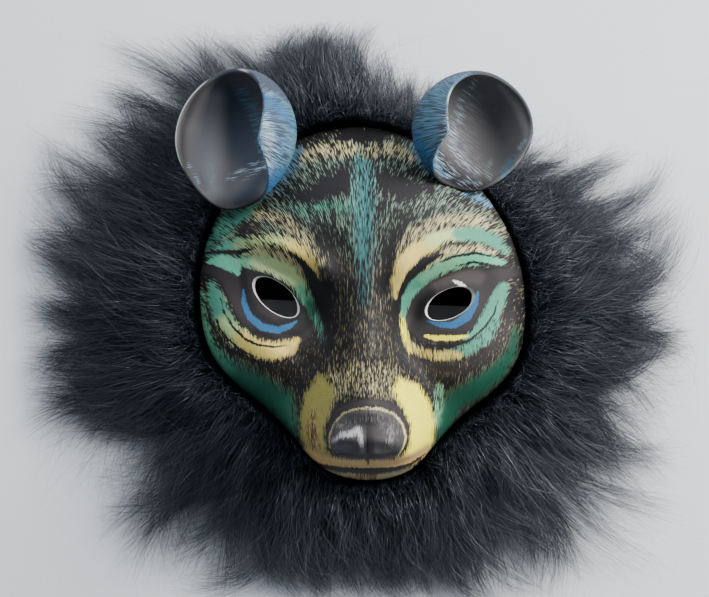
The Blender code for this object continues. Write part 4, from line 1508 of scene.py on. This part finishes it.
LEFT_EAR_CUP = (
    # painted shade: the cup darkens under its overhanging inner wall
    Patch(Ink.NIGHT, 0.02, 15, (
        (222, 78), (238, 84), (254, 106), (266, 136), (272, 156), (266, 178), (240, 172), (226, 150),
        (216, 110),
    )),
    Mark(Ink.SLATE, 0.04, 5, (
        (204, 84, 4), (192, 104, 4), (184, 128, 4), (182, 150, 3), (186, 172, 3), (194, 200, 4),
    )),
    # painted light: a paler band down the cup's wall that faces the lamp
    Mark(Ink.PEARL, 0.03, 14, ((214, 100, 5), (206, 130, 12), (207, 165, 13), (212, 188, 6))),
    Mark(Ink.STEEL, 0.36, 7, ((232, 82, 3), (245, 96, 6), (256, 114, 8), (262, 132, 7), (263, 150, 5))),
    # painted shade: the cup's foot darkens on both sides and below, where it meets the head and the fur
    Mark(Ink.NIGHT, 0.02, 8, ((262, 176, 5), (252, 190, 8), (238, 202, 7))),
    Mark(Ink.NIGHT, 0.02, 5, ((186, 182, 3), (194, 196, 4), (203, 208, 4))),
    Mark(Ink.BLACK, 0.02, 9, ((196, 198, 3), (210, 210, 8), (234, 214, 10), (256, 204, 9))),
    Mark(Ink.FROST, 0.26, 7, ((270, 160, 5), (256, 168, 7), (240, 174, 5), (228, 178, 2))),
    Mark(Ink.FROST, 0.5, 3.5, ((188, 164, 1), (195, 173, 2.0), (199, 184, 1))),
    Mark(Ink.FROST, 0.36, 3, ((210, 163, 1), (214, 174, 1.5), (212, 184, 1))),
)

RIGHT_EAR_BACK = (
    Mark(Ink.STEEL, 0.42, 8, (
        (462, 80, 8), (440, 92, 12), (430, 112, 13), (427, 132, 12), (430, 152, 11), (444, 170, 9),
        (458, 184, 7),
    ), 0.46),
    Mark(Ink.FROST, 0.36, 6, ((470, 84, 3), (456, 106, 6), (449, 128, 7), (449, 148, 7), (456, 166, 6))),
    Mark(Ink.BLUE, 0.58, 5, ((415, 130, 2), (419, 146, 5), (430, 162, 6), (442, 174, 6), (452, 186, 4))),
    Mark(Ink.SKY, 0.46, 4, ((436, 160, 3), (450, 168, 4), (462, 174, 2))),
    Mark(Ink.BLACK, 0.04, 8, ((450, 172, 4), (462, 184, 7), (486, 190, 8))),
)

RIGHT_EAR_CUP = (
    Mark(Ink.FROST, 0.3, 8, (
        (474, 82, 2), (464, 100, 5), (456, 124, 6), (456, 146, 6), (464, 164, 6), (480, 176, 3),
    ), 0.28),
    Mark(Ink.STONE, 0.26, 9, ((478, 96, 6), (470, 122, 6), (470, 148, 7), (482, 168, 4))),
    Mark(Ink.BLACK, 0.04, 12, ((438, 152, 6), (446, 170, 12), (462, 186, 14), (488, 194, 12))),
    Mark(Ink.SKY, 0.5, 5, ((432, 150, 4), (438, 162, 6), (447, 174, 4))),
    Mark(Ink.FROST, 0.16, 8, ((440, 158, 5), (452, 170, 8), (466, 180, 8), (480, 184, 4))),
    Mark(Ink.STONE, 0.08, 4, ((500, 86, 2), (516, 106, 3), (526, 128, 3.5), (528, 146, 3), (518, 162, 3))),
    Mark(Ink.SLATE, 0.08, 3, ((512, 84, 1), (526, 106, 2), (534, 130, 2.5), (535, 150, 2))),
    Mark(Ink.SAGE, 0.5, 4, ((492, 160, 1), (488, 170, 1.5), (490, 180, 1))),
    Mark(Ink.STEEL, 0.56, 4, ((512, 158, 2), (506, 170, 4), (503, 184, 2))),
    Mark(Ink.FROST, 0.42, 3, ((526, 140, 1), (520, 147, 2))),
)


def both_ears(form: FaceForm) -> list[Ear]:
    """The two ears: the left leans out and shows its curled wall, the right opens to the front."""
    return [
        Ear(
            form,
            side=Side.LEFT,
            node="ear_left",
            u=-62.8,
            v=81.0,
            z=49.5,
            half_across=31.5,
            half_long=37.5,
            depth=23.0,
            lean_deg=-11.0,
            roll_deg=-13.0,
            pitch_deg=-4.0,
            curl_inner=142.0,
            curl_outer=88.0,
            curl_foot=62.0,
            pale_rim_deg=((80, 100), (130, 215)),
            cup_lie_deg=-14.0,
            back_marks=LEFT_EAR_BACK,
            cup_marks=LEFT_EAR_CUP,
        ),
        Ear(
            form,
            side=Side.RIGHT,
            node="ear_right",
            u=57.0,
            v=88.5,
            z=48.5,
            half_across=31.3,
            half_long=31.8,
            depth=24.0,
            lean_deg=5.0,
            roll_deg=10.0,
            pitch_deg=0.0,
            curl_inner=143.0,
            curl_outer=89.0,
            curl_foot=62.0,
            pale_rim_deg=((120, 150), (340, 350)),
            cup_lie_deg=38.0,
            back_marks=RIGHT_EAR_BACK,
            cup_marks=RIGHT_EAR_CUP,
        ),
    ]


# The coat's outline in millimetres from between the eyes, and its height near the face.
COAT = (
    # angle_deg, reach, crest
    (-178, 181, 28), (-171, 165, 28), (-157, 176, 30), (-151, 156, 31), (-143, 146, 32), (-138, 162, 32),
    (-129, 158, 33), (-120, 150, 33), (-108, 160, 33), (-99, 152, 32), (-92, 146, 31), (-82, 148, 31),
    (-74, 156, 32), (-69, 168, 33), (-62, 156, 33), (-52, 152, 33), (-48, 180, 34), (-41, 146, 32),
    (-32, 158, 32), (-27, 144, 31), (-18, 148, 30), (-8, 158, 29), (-4, 172, 28), (4, 158, 26),
    (12, 148, 24), (22, 148, 19), (29, 132, 17), (38, 116, 15), (55, 102, 14), (72, 103, 17),
    (84, 106, 23), (91, 134, 32), (98, 152, 32), (106, 148, 31), (113, 136, 18), (122, 144, 15),
    (129, 152, 15), (141, 144, 15), (150, 144, 18), (156, 154, 20), (163, 162, 22), (169, 168, 25),
    (175, 162, 27),
)


class CoatColumn(Enum):
    """What a column of the coat's table holds."""

    REACH = 1
    CREST = 2


@dataclass(frozen=True)
class FurLayer:
    """One kind of hair in the coat, counted over the whole turn, in millimetres and radians.

    Its locks root between two rows, shares of the way out, and run to reach times the coat's outline, or
    for about fixed_run. A lock's hairs are scattered round its root by spread and drawn together by draw at
    its tip. heading and bend scatter the locks, stray and own_bend their hairs. uneven is the most of its
    length that a hair may lack, and lift is how far a lock arches up.
    """

    name: str
    locks: int
    hairs: int
    steps: int
    width: float
    row_from: float
    row_to: float
    reach: float
    spread: float
    draw: float
    heading: float
    bend: float
    stray: float
    own_bend: float
    uneven: float
    lift: float
    fixed_run: float = 0.0

    def shares(self) -> Array:
        """Shares of the way along a hair, one for each step."""
        return np.linspace(0, 1, self.steps)[None, :]


FUR_LAYERS = (
    # name, locks, hairs, steps, width, row_from, row_to, reach, spread, draw,
    # heading, bend, stray, own_bend, uneven, lift, fixed_run
    FurLayer("near", 520, 36, 6, 0.28, -0.02, 0.22, 1.00, 3.4, 0.40, 0.16, 0.28, 0.10, 0.16, 0.55, 17.0),
    FurLayer("seam", 560, 12, 6, 0.26, -0.06, 0.10, 1.00, 2.4, 0.35, 0.80, 0.60, 0.35, 0.40, 0.5, 20.0, 17.0),
    FurLayer("body", 520, 44, 6, 0.26, 0.12, 0.92, 1.03, 4.4, 0.66, 0.16, 0.30, 0.06, 0.14, 0.46, 12.0),
    FurLayer("fringe", 130, 80, 7, 0.17, 0.40, 1.00, 1.34, 4.6, 0.90, 0.20, 0.50, 0.05, 0.14, 0.46, 8.0),
    FurLayer("veil", 2200, 4, 7, 0.13, 0.15, 1.00, 1.30, 6.0, 0.30, 0.30, 0.50, 0.20, 0.35, 0.46, 10.0),
    FurLayer("flyaway", 700, 2, 7, 0.11, 0.00, 1.00, 1.40, 6.0, 0.00, 0.50, 0.70, 0.30, 0.80, 0.40, 16.0),
)


@dataclass
class FurCoat:
    """A stretch of long fur: dark underfur on its backing, and locks of fine tapered hairs over it.

    Lengths are in millimetres. A field that ends in span or ease is the range of an even random draw, and
    one that ends in odds shapes a beta draw. A wave is its size, its count round the face and its start.
    """

    form: FaceForm
    name: str
    node: str
    first_deg: float
    last_deg: float
    seed: int
    ears: Sequence[Ear]
    clear: float = 1.0
    lip: float = 10.0
    box_x: float = 185.0
    box_y: float = 160.0
    box_ease: Span = (0.90, 1.0)
    most_triangles: int = 180000
    backing: float = 2.4
    backing_z: float = 0.02
    under_spokes: int = 220
    under_rows: int = 14
    under_share: float = 0.62
    under_edge: float = 0.97
    under_foot: float = 1.5
    under_height: float = 0.36
    under_swell: float = 0.12
    under_swell_by: float = 0.3
    under_fall: float = 1.8
    own_ripple: Span = (0.05, 31.0)
    edge_ripple: Wave = (0.04, 53.0, 0.0)
    golden_turn: float = 0.6180339887
    root_share: float = 0.60
    shortest_run: float = 0.50
    run_power: float = 0.7
    outline_wave: Wave = (0.04, 23.0, 1.0)
    outline_scatter: float = 3.5
    fixed_run_span: Span = (0.6, 1.3)
    sway: Wave = (0.24, 3.0, 1.3)
    lift_span: Span = (0.5, 1.4)
    ear_feet_deg: tuple[float, float] = (33.0, 153.0)
    foot_width_deg: float = 6.0
    foot_lift: float = 1.2
    length_odds: Span = (1.3, 1.8)
    lock_bend: float = 1.6
    curl: float = 0.5
    curl_count: float = 5.0
    curl_start: float = 9.0
    rim_overlap: float = 0.5
    rim_leave: float = 6.0
    root_z: float = 0.2
    tip_z: float = 1.0
    tip_share: float = 0.55
    tip_span: Span = (0.5, 1.2)
    row_settle: float = 0.3
    crest_scale: float = 30.0
    lift_scatter: float = 0.22
    least_z_span: Span = (0.3, 0.8)
    tone_odds: Span = (1.6, 3.2)
    lock_tone: float = 0.30
    # painted sheen: how much greyer the hairs turn towards the top
    top_painted_sheen: float = 0.44
    top_y: Span = (0.0, 90.0)
    low_grey: float = 0.48
    low_y: Span = (50.0, 120.0)
    # painted shade: the tone of hairs rooted next to the face, and the share of the way out over which it
    # lifts
    painted_seam_shade: float = 0.35
    painted_seam_shade_by: float = 0.16
    width_span: Span = (0.6, 1.25)
    taper: float = 0.72
    rng: np.random.Generator = field(init=False)

    def __post_init__(self) -> None:
        """Starts the coat's own random numbers from its seed."""
        self.rng = np.random.default_rng(self.seed)

    def read(self, theta: Array, column: CoatColumn) -> Array:
        """The coat's table at angles in radians."""
        wrapped = (np.degrees(theta) + 180) % 360 - 180
        return smooth_table(wrapped, COAT, column.value, period=360)

    @staticmethod
    def wave(theta: Array, row: Wave) -> Array:
        """A wave round the face: its size times the sine of its count times the angle plus its start."""
        size, count, start = row
        return size * np.sin(theta * count + start)

    def way_out(self, theta: Array, root: Array) -> Array:
        """How far out a root lies, from 0 at the face's rim to 1 at the underfur's edge."""
        rim = self.form.rim_radius(theta)
        reach = self.read(theta, CoatColumn.REACH)
        return np.clip((root - rim) / (self.under_share * (reach - rim)), 0, 1)

    def undercoat(self, theta: Array, out: Array) -> Array:
        """The underfur's height at a share of the way out to its edge: a low swell with a dip at the face."""
        crest = self.read(theta, CoatColumn.CREST)
        swell = self.under_height + self.under_swell * smooth_step(0.0, self.under_swell_by, out)
        return self.under_foot + swell * crest * np.clip(1 - out**self.under_fall, 0, 1)

    def build_under(self) -> Piece:
        """The underfur: a swept ring section, its heel under the face's rim, its edge inside the hair."""
        theta = np.radians(np.linspace(self.first_deg, self.last_deg, self.under_spokes))
        rim = self.form.rim_radius(theta)
        reach = rim + (self.read(theta, CoatColumn.REACH) - rim) * self.under_share
        own = self.wave(theta, (*self.own_ripple, self.seed))
        edge = reach * (1 + own + self.wave(theta, self.edge_ripple))
        foot, back = 0 * theta + self.backing_z, 0 * theta + self.backing
        rows = [(rim - self.lip, foot), (rim - self.lip, back), (rim + self.clear, back)]
        for out in np.linspace(0, 1, self.under_rows):
            radius = rim + self.clear + (edge - rim - self.clear) * out
            rows.append((radius, self.undercoat(theta, out * self.under_edge)))
        rows.append((edge, foot))
        points = np.concatenate([self.form.place(r * np.cos(theta), r * np.sin(theta), z) for r, z in rows])
        quads = grid_faces(len(rows), self.under_spokes, flip=True)
        first = np.arange(self.under_spokes)
        last = (len(rows) - 1) * self.under_spokes + first
        close = np.stack([last[:-1], last[1:], first[1:], first[:-1]], axis=-1)
        return make_piece(self.name + "_under", points, np.vstack([quads, close[:, ::-1]]))

    def guides(self, layer: FurLayer, count: int) -> dict[str, Array]:
        """Roots, lengths and lies of a layer's locks, spread evenly round the face.

        Args:
            layer: The layer.
            count: How many locks.

        Returns:
            One row of values for each lock, by name.
        """
        rng = self.rng
        span = math.radians(self.last_deg - self.first_deg)
        scattered = np.arange(count) + rng.uniform(-0.5, 0.5, count)
        theta = math.radians(self.first_deg) + span * scattered / count
        turn = (np.arange(count) * self.golden_turn) % 1.0
        row = layer.row_from + (layer.row_to - layer.row_from) * turn
        rim = self.form.rim_radius(theta)
        reach = self.read(theta, CoatColumn.REACH)
        root = rim + self.clear + row * (reach - rim) * self.root_share
        whole = reach * layer.reach * (1 + self.wave(theta, self.outline_wave))
        whole = whole + rng.normal(0, self.outline_scatter, count)
        full = self.shortest_run + (1 - self.shortest_run) * np.clip(row, 0, 1) ** self.run_power
        run = (whole - root) * full
        if layer.fixed_run:
            run = layer.fixed_run * rng.uniform(*self.fixed_run_span, count)
        bend = self.wave(theta, self.sway) + rng.normal(0, layer.bend, count)
        lift = layer.lift * rng.uniform(*self.lift_span, count)
        if layer.fixed_run:
            for foot in self.ear_feet_deg:
                off = (np.degrees(theta) - foot) / self.foot_width_deg
                lift *= 1 + self.foot_lift * np.exp(-(off**2))
        return {
            "theta": theta,
            "row": row,
            "root": root,
            "run": run,
            "heading": rng.normal(0, layer.heading, count),
            "bend": bend,
            "lift": lift,
            "tone": rng.uniform(-0.5, 0.5, count),
        }

    def plan(self, layer: FurLayer, own: dict[str, Array]) -> tuple[Array, Array]:
        """Each hair's way in plan.

        A lock's line starts at its heading from straight outwards and turns evenly by its bend. Its hairs
        start scattered round its root, draw together towards its tip, and each has a little curl of its own.

        Args:
            layer: The layer.
            own: The values of each hair's lock.

        Returns:
            Distances from between the eyes, and distances sideways from the lock's ray.
        """
        t, size, rng = layer.shares(), own["run"].shape, self.rng
        run = own["run"] * (1 - layer.uneven * rng.beta(*self.length_odds, size))
        heading = own["heading"] + rng.normal(0, layer.stray, size)
        bend = own["bend"] * self.lock_bend + rng.normal(0, layer.own_bend, size)
        curl = rng.normal(0, layer.own_bend, size) * self.curl
        way = heading + bend * t + curl * np.sin(self.curl_count * t + own["tone"] * self.curl_start)
        step = run / (layer.steps - 1)
        out = np.cumsum(np.cos(way) * step, axis=1) - np.cos(way) * step
        side = np.cumsum(np.sin(way) * step, axis=1) - np.sin(way) * step
        close = 1 - layer.draw * t**0.8
        outward = rng.normal(0, layer.spread, size)
        around = rng.normal(0, layer.spread, size)
        radius = own["root"] + out + outward * close
        nearest = self.form.rim_radius(own["theta"]) + self.clear - self.rim_overlap + self.rim_leave * t
        return np.maximum(radius, nearest), side + around * close

    def heights(self, layer: FurLayer, own: dict[str, Array]) -> Array:
        """Each hair's height: a line from the underfur to its tip, and an arch of its lift over that.

        Args:
            layer: The layer.
            own: The values of each hair's lock.

        Returns:
            The heights, kept a little over the ground.
        """
        t, size, rng = layer.shares(), own["run"].shape, self.rng
        theta, row = own["theta"], own["row"]
        crest = self.read(theta, CoatColumn.CREST)
        start = self.undercoat(theta, self.way_out(theta, own["root"]) * self.under_edge) + self.root_z
        end = self.tip_z + (1 - row) ** 1.5 * self.tip_share * crest * rng.uniform(*self.tip_span, size)
        lift = own["lift"] * (1 - self.row_settle * row) * crest / self.crest_scale
        lift = lift + rng.normal(0, self.lift_scatter, size) * layer.lift
        z = start + (end - start) * t**1.3 + 4 * lift * t * (1 - t) ** 1.4
        return np.maximum(z, rng.uniform(*self.least_z_span, size))

    def tones(self, tip_y: Array, out: Array, lock_tone: Array) -> Array:
        """Each hair's tone from 0 to 1.

        Args:
            tip_y: The tips' places towards the ears.
            out: How far out the hairs root.
            lock_tone: The tones of the hairs' locks.

        Returns:
            A random tone with the lock's, greyer at the top as a painted sheen, greyer at the bottom, and
            darker next to the face as painted shade.
        """
        # painted sheen: hairs greyer towards the top; they also turn greyer towards the bottom
        grey = self.top_painted_sheen * smooth_step(*self.top_y, tip_y)
        grey += self.low_grey * smooth_step(*self.low_y, -tip_y)
        # painted shade: hairs rooted next to the face are darker
        shade = self.painted_seam_shade + (1 - self.painted_seam_shade) * smooth_step(0.0, self.painted_seam_shade_by, out)
        own = self.rng.beta(*self.tone_odds, len(tip_y))
        return shade * np.clip(own + self.lock_tone * lock_tone + grey, 0, 1)

    def hair_points(self, layer: FurLayer) -> tuple[Array, Array, Array]:
        """The middle lines of a layer's hairs.

        Args:
            layer: The layer.

        Returns:
            Places as hairs by steps by three in metres, each hair's tone, and its width in millimetres.
        """
        share = (self.last_deg - self.first_deg) / 360.0
        locks = max(1, round(layer.locks * share))
        guide = self.guides(layer, locks)
        pick = np.repeat(np.arange(locks), layer.hairs)
        own = {key: value[pick][:, None] for key, value in guide.items()}
        radius, side = self.plan(layer, own)
        z = self.heights(layer, own)
        theta = own["theta"]
        u = radius * np.cos(theta) - side * np.sin(theta)
        v = radius * np.sin(theta) + side * np.cos(theta)
        points = self.form.place(u, v, z)
        points = self.within_box(points, self.rng.uniform(*self.box_ease, (len(pick), 1)))
        out = self.way_out(theta, own["root"])[:, 0]
        tone = self.tones(points[:, -1, 1] / MM, out, guide["tone"][pick])
        return points, tone, layer.width * self.rng.uniform(*self.width_span, len(pick))

    def within_box(self, points: Array, ease: Array) -> Array:
        """Draws hairs in towards their roots where they would pass the coat's outer box.

        Args:
            points: Places as hairs by steps by three in metres.
            ease: For each hair, the share of the box that it may reach.

        Returns:
            The places, each hair that passed the box scaled in plan about its root until it lies inside.
        """
        root, way = points[:, :1, :2], points[:, :, :2] - points[:, :1, :2]
        edge = np.array([self.box_x, self.box_y]) * MM * ease[:, :, None]
        micron = 1e-6
        room = np.where(way > 0, edge - root, edge + root) / np.maximum(np.abs(way), micron)
        scale = np.clip(room.min(axis=(1, 2)), 0.0, 1.0)[:, None, None]
        moved = points.copy()
        moved[:, :, :2] = root + way * scale
        return moved

    def ribbons(self, name: str, lines: Array, tone: Array, width: Array) -> Piece:
        """Hairs as thin ribbons with pointed tips: two edges beside the line, turned about it at random.

        Args:
            name: The piece's name.
            lines: The hairs' middle lines.
            tone: The hairs' tones.
            width: The hairs' widths at the root in millimetres.

        Returns:
            The piece, each point with its hair's tone and its place along it.
        """
        count, steps = lines.shape[:2]
        way = np.gradient(lines, axis=1)
        way /= np.maximum(np.linalg.norm(way, axis=-1, keepdims=True), TINY)
        level = np.cross(way, np.array([0.0, 0.0, 1.0]))
        level /= np.maximum(np.linalg.norm(level, axis=-1, keepdims=True), TINY)
        roll = self.rng.uniform(-1.0, 1.0, (count, 1, 1))
        flat = level * np.cos(roll) + np.cross(way, level) * np.sin(roll)
        t = np.linspace(0, 1, steps)[None, :, None]
        half = 0.5 * width[:, None, None] * MM * (1 - self.taper * t**1.5)
        left, right = lines + flat * half, lines - flat * half
        body = np.stack([left[:, :-1], right[:, :-1]], axis=2).reshape(count, -1, 3)
        points = np.concatenate([body, lines[:, -1:]], axis=1)
        per = points.shape[1]
        base = (np.arange(count) * per)[:, None]
        i = np.arange(steps - 2)
        quads = np.stack([2 * i, 2 * i + 1, 2 * i + 3, 2 * i + 2], axis=-1)[None] + base[:, :, None]
        tris = np.array([[per - 3, per - 2, per - 1]])[None] + base[:, :, None]
        piece = make_piece(name, points.reshape(-1, 3), quads.reshape(-1, 4), tris.reshape(-1, 3))
        along = np.concatenate([np.repeat(np.linspace(0, 1, steps)[:-1], 2), [1.0]])
        put_number(piece, "tone", np.repeat(tone, per))
        put_number(piece, "along", np.tile(along, count))
        return piece

    def build(self, pile: Material, under: Material) -> list[Piece]:
        """Builds and dresses the underfur and every layer of hairs, without those that would pass an ear.

        Args:
            pile: The long hairs' material.
            under: The underfur's material.

        Returns:
            The pieces, each layer in as many as keep it under the most triangles.
        """
        made = [self.build_under()]
        made[0].data.materials.append(under)
        for layer in FUR_LAYERS:
            lines, tone, width = self.hair_points(layer)
            clear = np.ones(len(lines), bool)
            for ear in self.ears:
                clear &= ~ear.holds(lines).any(axis=1)
            lines, tone, width = lines[clear], tone[clear], width[clear]
            order = self.rng.permutation(len(lines))
            each = 2 * layer.steps - 3
            parts = math.ceil(len(lines) * each / self.most_triangles)
            for number, part in enumerate(np.array_split(order, parts)):
                label = f"{self.name}_{layer.name}_{number + 1}"
                piece = self.ribbons(label, lines[part], tone[part], width[part])
                piece.data.materials.append(pile)
                made.append(piece)
        for piece in made:
            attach(piece, "root")
            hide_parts(self.node)
        return made


@dataclass(frozen=True)
class Lamp:
    """A soft square lamp that faces a point over the face, in metres and watts."""

    name: str
    place: tuple[float, float, float]
    size: float
    power: float
    colour: tuple[float, float, float]
    aim: tuple[float, float, float] = (0.0, 0.0, 0.03)

    def build(self) -> None:
        """Adds the lamp, tipped from straight down by the slope of its way to the point, and turned to it."""
        lamp = bpy.data.lights.new(self.name, "AREA")
        lamp.size = self.size
        lamp.energy = self.power
        lamp.color = self.colour
        obj = bpy.data.objects.new(self.name, lamp)
        obj.location = self.place
        away = np.array(self.place) - np.array(self.aim)
        flat = math.hypot(away[0], away[1])
        obj.rotation_euler = (math.atan2(flat, away[2]), 0.0, math.atan2(away[1], away[0]) + math.pi / 2)
        bpy.context.scene.collection.objects.link(obj)


LAMPS = (
    Lamp("window", (1.20, 0.60, 0.85), 0.7, 58.0, (1.0, 0.99, 0.98)),
    Lamp("bounce", (-0.75, 1.15, 0.95), 0.9, 17.0, (0.88, 0.94, 1.0)),
)


@dataclass(frozen=True)
class WhiteCloth:
    """The pale cloth of the ground, faintly mottled, with a short nap."""

    name: str = "white_cloth"
    dark: Colour = (0.80, 0.81, 0.84, 1.0)
    light: Colour = (0.88, 0.89, 0.91, 1.0)
    mottle_scale: float = 14.0
    mottle_share: float = 2.0
    nap_scale: float = 900.0
    roughness: float = 0.9
    relief: float = 0.0006
    relief_share: float = 0.25

    def make(self) -> Material:
        """Builds the material from two noises."""
        material, shades, shader = new_material(self.name)
        place, _ = shades.place()
        mottle = shades.noise(place, self.mottle_scale, 4.0, 0.6)
        nap = shades.noise(place, self.nap_scale, 3.0, 0.6)
        shades.feed(shader.inputs["Base Color"], shades.blend(mottle, self.dark, self.light))
        shader.inputs["Roughness"].default_value = self.roughness
        height = shades.math("ADD", shades.math("MULTIPLY", mottle, self.mottle_share), nap)
        shades.raise_surface(shader, height, self.relief, self.relief_share)
        return material


@dataclass
class Studio:
    """The pale cloth ground, soft lights and the camera straight above the face."""

    view: FrontView
    ground_half: float = 1.6
    ground_points: int = 260
    ground_z: float = -0.0016
    ground_wave: float = 0.0005
    room_colour: Colour = (0.72, 0.84, 1.0, 1.0)
    room_light: float = 0.27
    lens: float = 66.0
    sensor: float = 36.0
    nearest: float = 0.01

    def build_ground(self) -> Piece:
        """A cloth-covered table: a wide level grid with shallow soft waves that never rise over the ground.

        Each of the two waves is a sine in x times a sine in y, both bent by slower ones.
        """
        side = np.linspace(-self.ground_half, self.ground_half, self.ground_points)
        x, y = np.meshgrid(side, side)
        wave = np.sin(9 * x + 2 * np.sin(5 * y)) * np.sin(7 * y + 1.5 * np.sin(6 * x + 1))
        wave += 0.5 * np.sin(23 * x + 3 * np.sin(11 * y)) * np.sin(19 * y + 2)
        points = np.stack([x, y, self.ground_z + self.ground_wave * wave], axis=-1).reshape(-1, 3)
        ground = make_piece("ground_cloth", points, grid_faces(self.ground_points, self.ground_points))
        ground.data.materials.append(WhiteCloth().make())
        return ground

    def build(self) -> None:
        """Sets the ground, the lights and the camera."""
        self.build_ground()
        for lamp in LAMPS:
            lamp.build()
        world = bpy.data.worlds.new("room")
        world.use_nodes = True
        world.node_tree.nodes["Background"].inputs[0].default_value = self.room_colour
        world.node_tree.nodes["Background"].inputs[1].default_value = self.room_light
        bpy.context.scene.world = world
        camera = bpy.data.cameras.new("camera")
        camera.lens = self.lens
        camera.sensor_width = self.sensor
        camera.clip_start = self.nearest
        obj = bpy.data.objects.new("camera", camera)
        obj.location = (self.view.x * MM, self.view.y * MM, self.view.eye_distance * MM)
        bpy.context.scene.collection.objects.link(obj)
        bpy.context.scene.camera = obj


def dress_strap(nodes: dict) -> None:
    """Gives the strap its woven finish in place of the plain one."""
    strap = nodes["elastic_strap"]
    strap.data.materials.clear()
    strap.data.materials.append(WovenElastic().make())


def report(name: str, pieces: Sequence[Piece]) -> int:
    """Logs how many triangles a sub-assembly's pieces hold.

    Args:
        name: The sub-assembly's name.
        pieces: Its pieces.

    Returns:
        Their number of triangles.
    """
    count = sum(len(face.vertices) - 2 for piece in pieces for face in piece.data.polygons)
    LOG.info("%s: pieces %d, triangles %d", name, len(pieces), count)
    return count


def main() -> None:
    """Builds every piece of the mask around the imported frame, in order."""
    logging.basicConfig(level=logging.INFO, format="%(name)s: %(message)s")
    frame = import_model()
    view = FrontView()
    Studio(view).build()
    form = FaceForm()
    effects = Effects()
    foam = CutFoam().make()
    pile, under = PileFur().make(), UnderFur().make()
    total = report("face shell", FaceShell(form, view, FlowField()).build(effects, foam))
    ears = both_ears(form)
    for ear in ears:
        total += report(ear.node, ear.build(effects))
    mane = FurCoat(form, "mane", "mane", first_deg=112.5, last_deg=427.5, seed=11, ears=ears)
    total += report("mane", mane.build(pile, under))
    tuft = FurCoat(form, "tuft", "crown_tuft", first_deg=68.0, last_deg=112.0, seed=12, ears=ears)
    total += report("tuft", tuft.build(pile, under))
    dress_strap(frame["nodes"])
    LOG.info("all pieces: %d triangles", total)


if __name__ == "__main__":
    main()
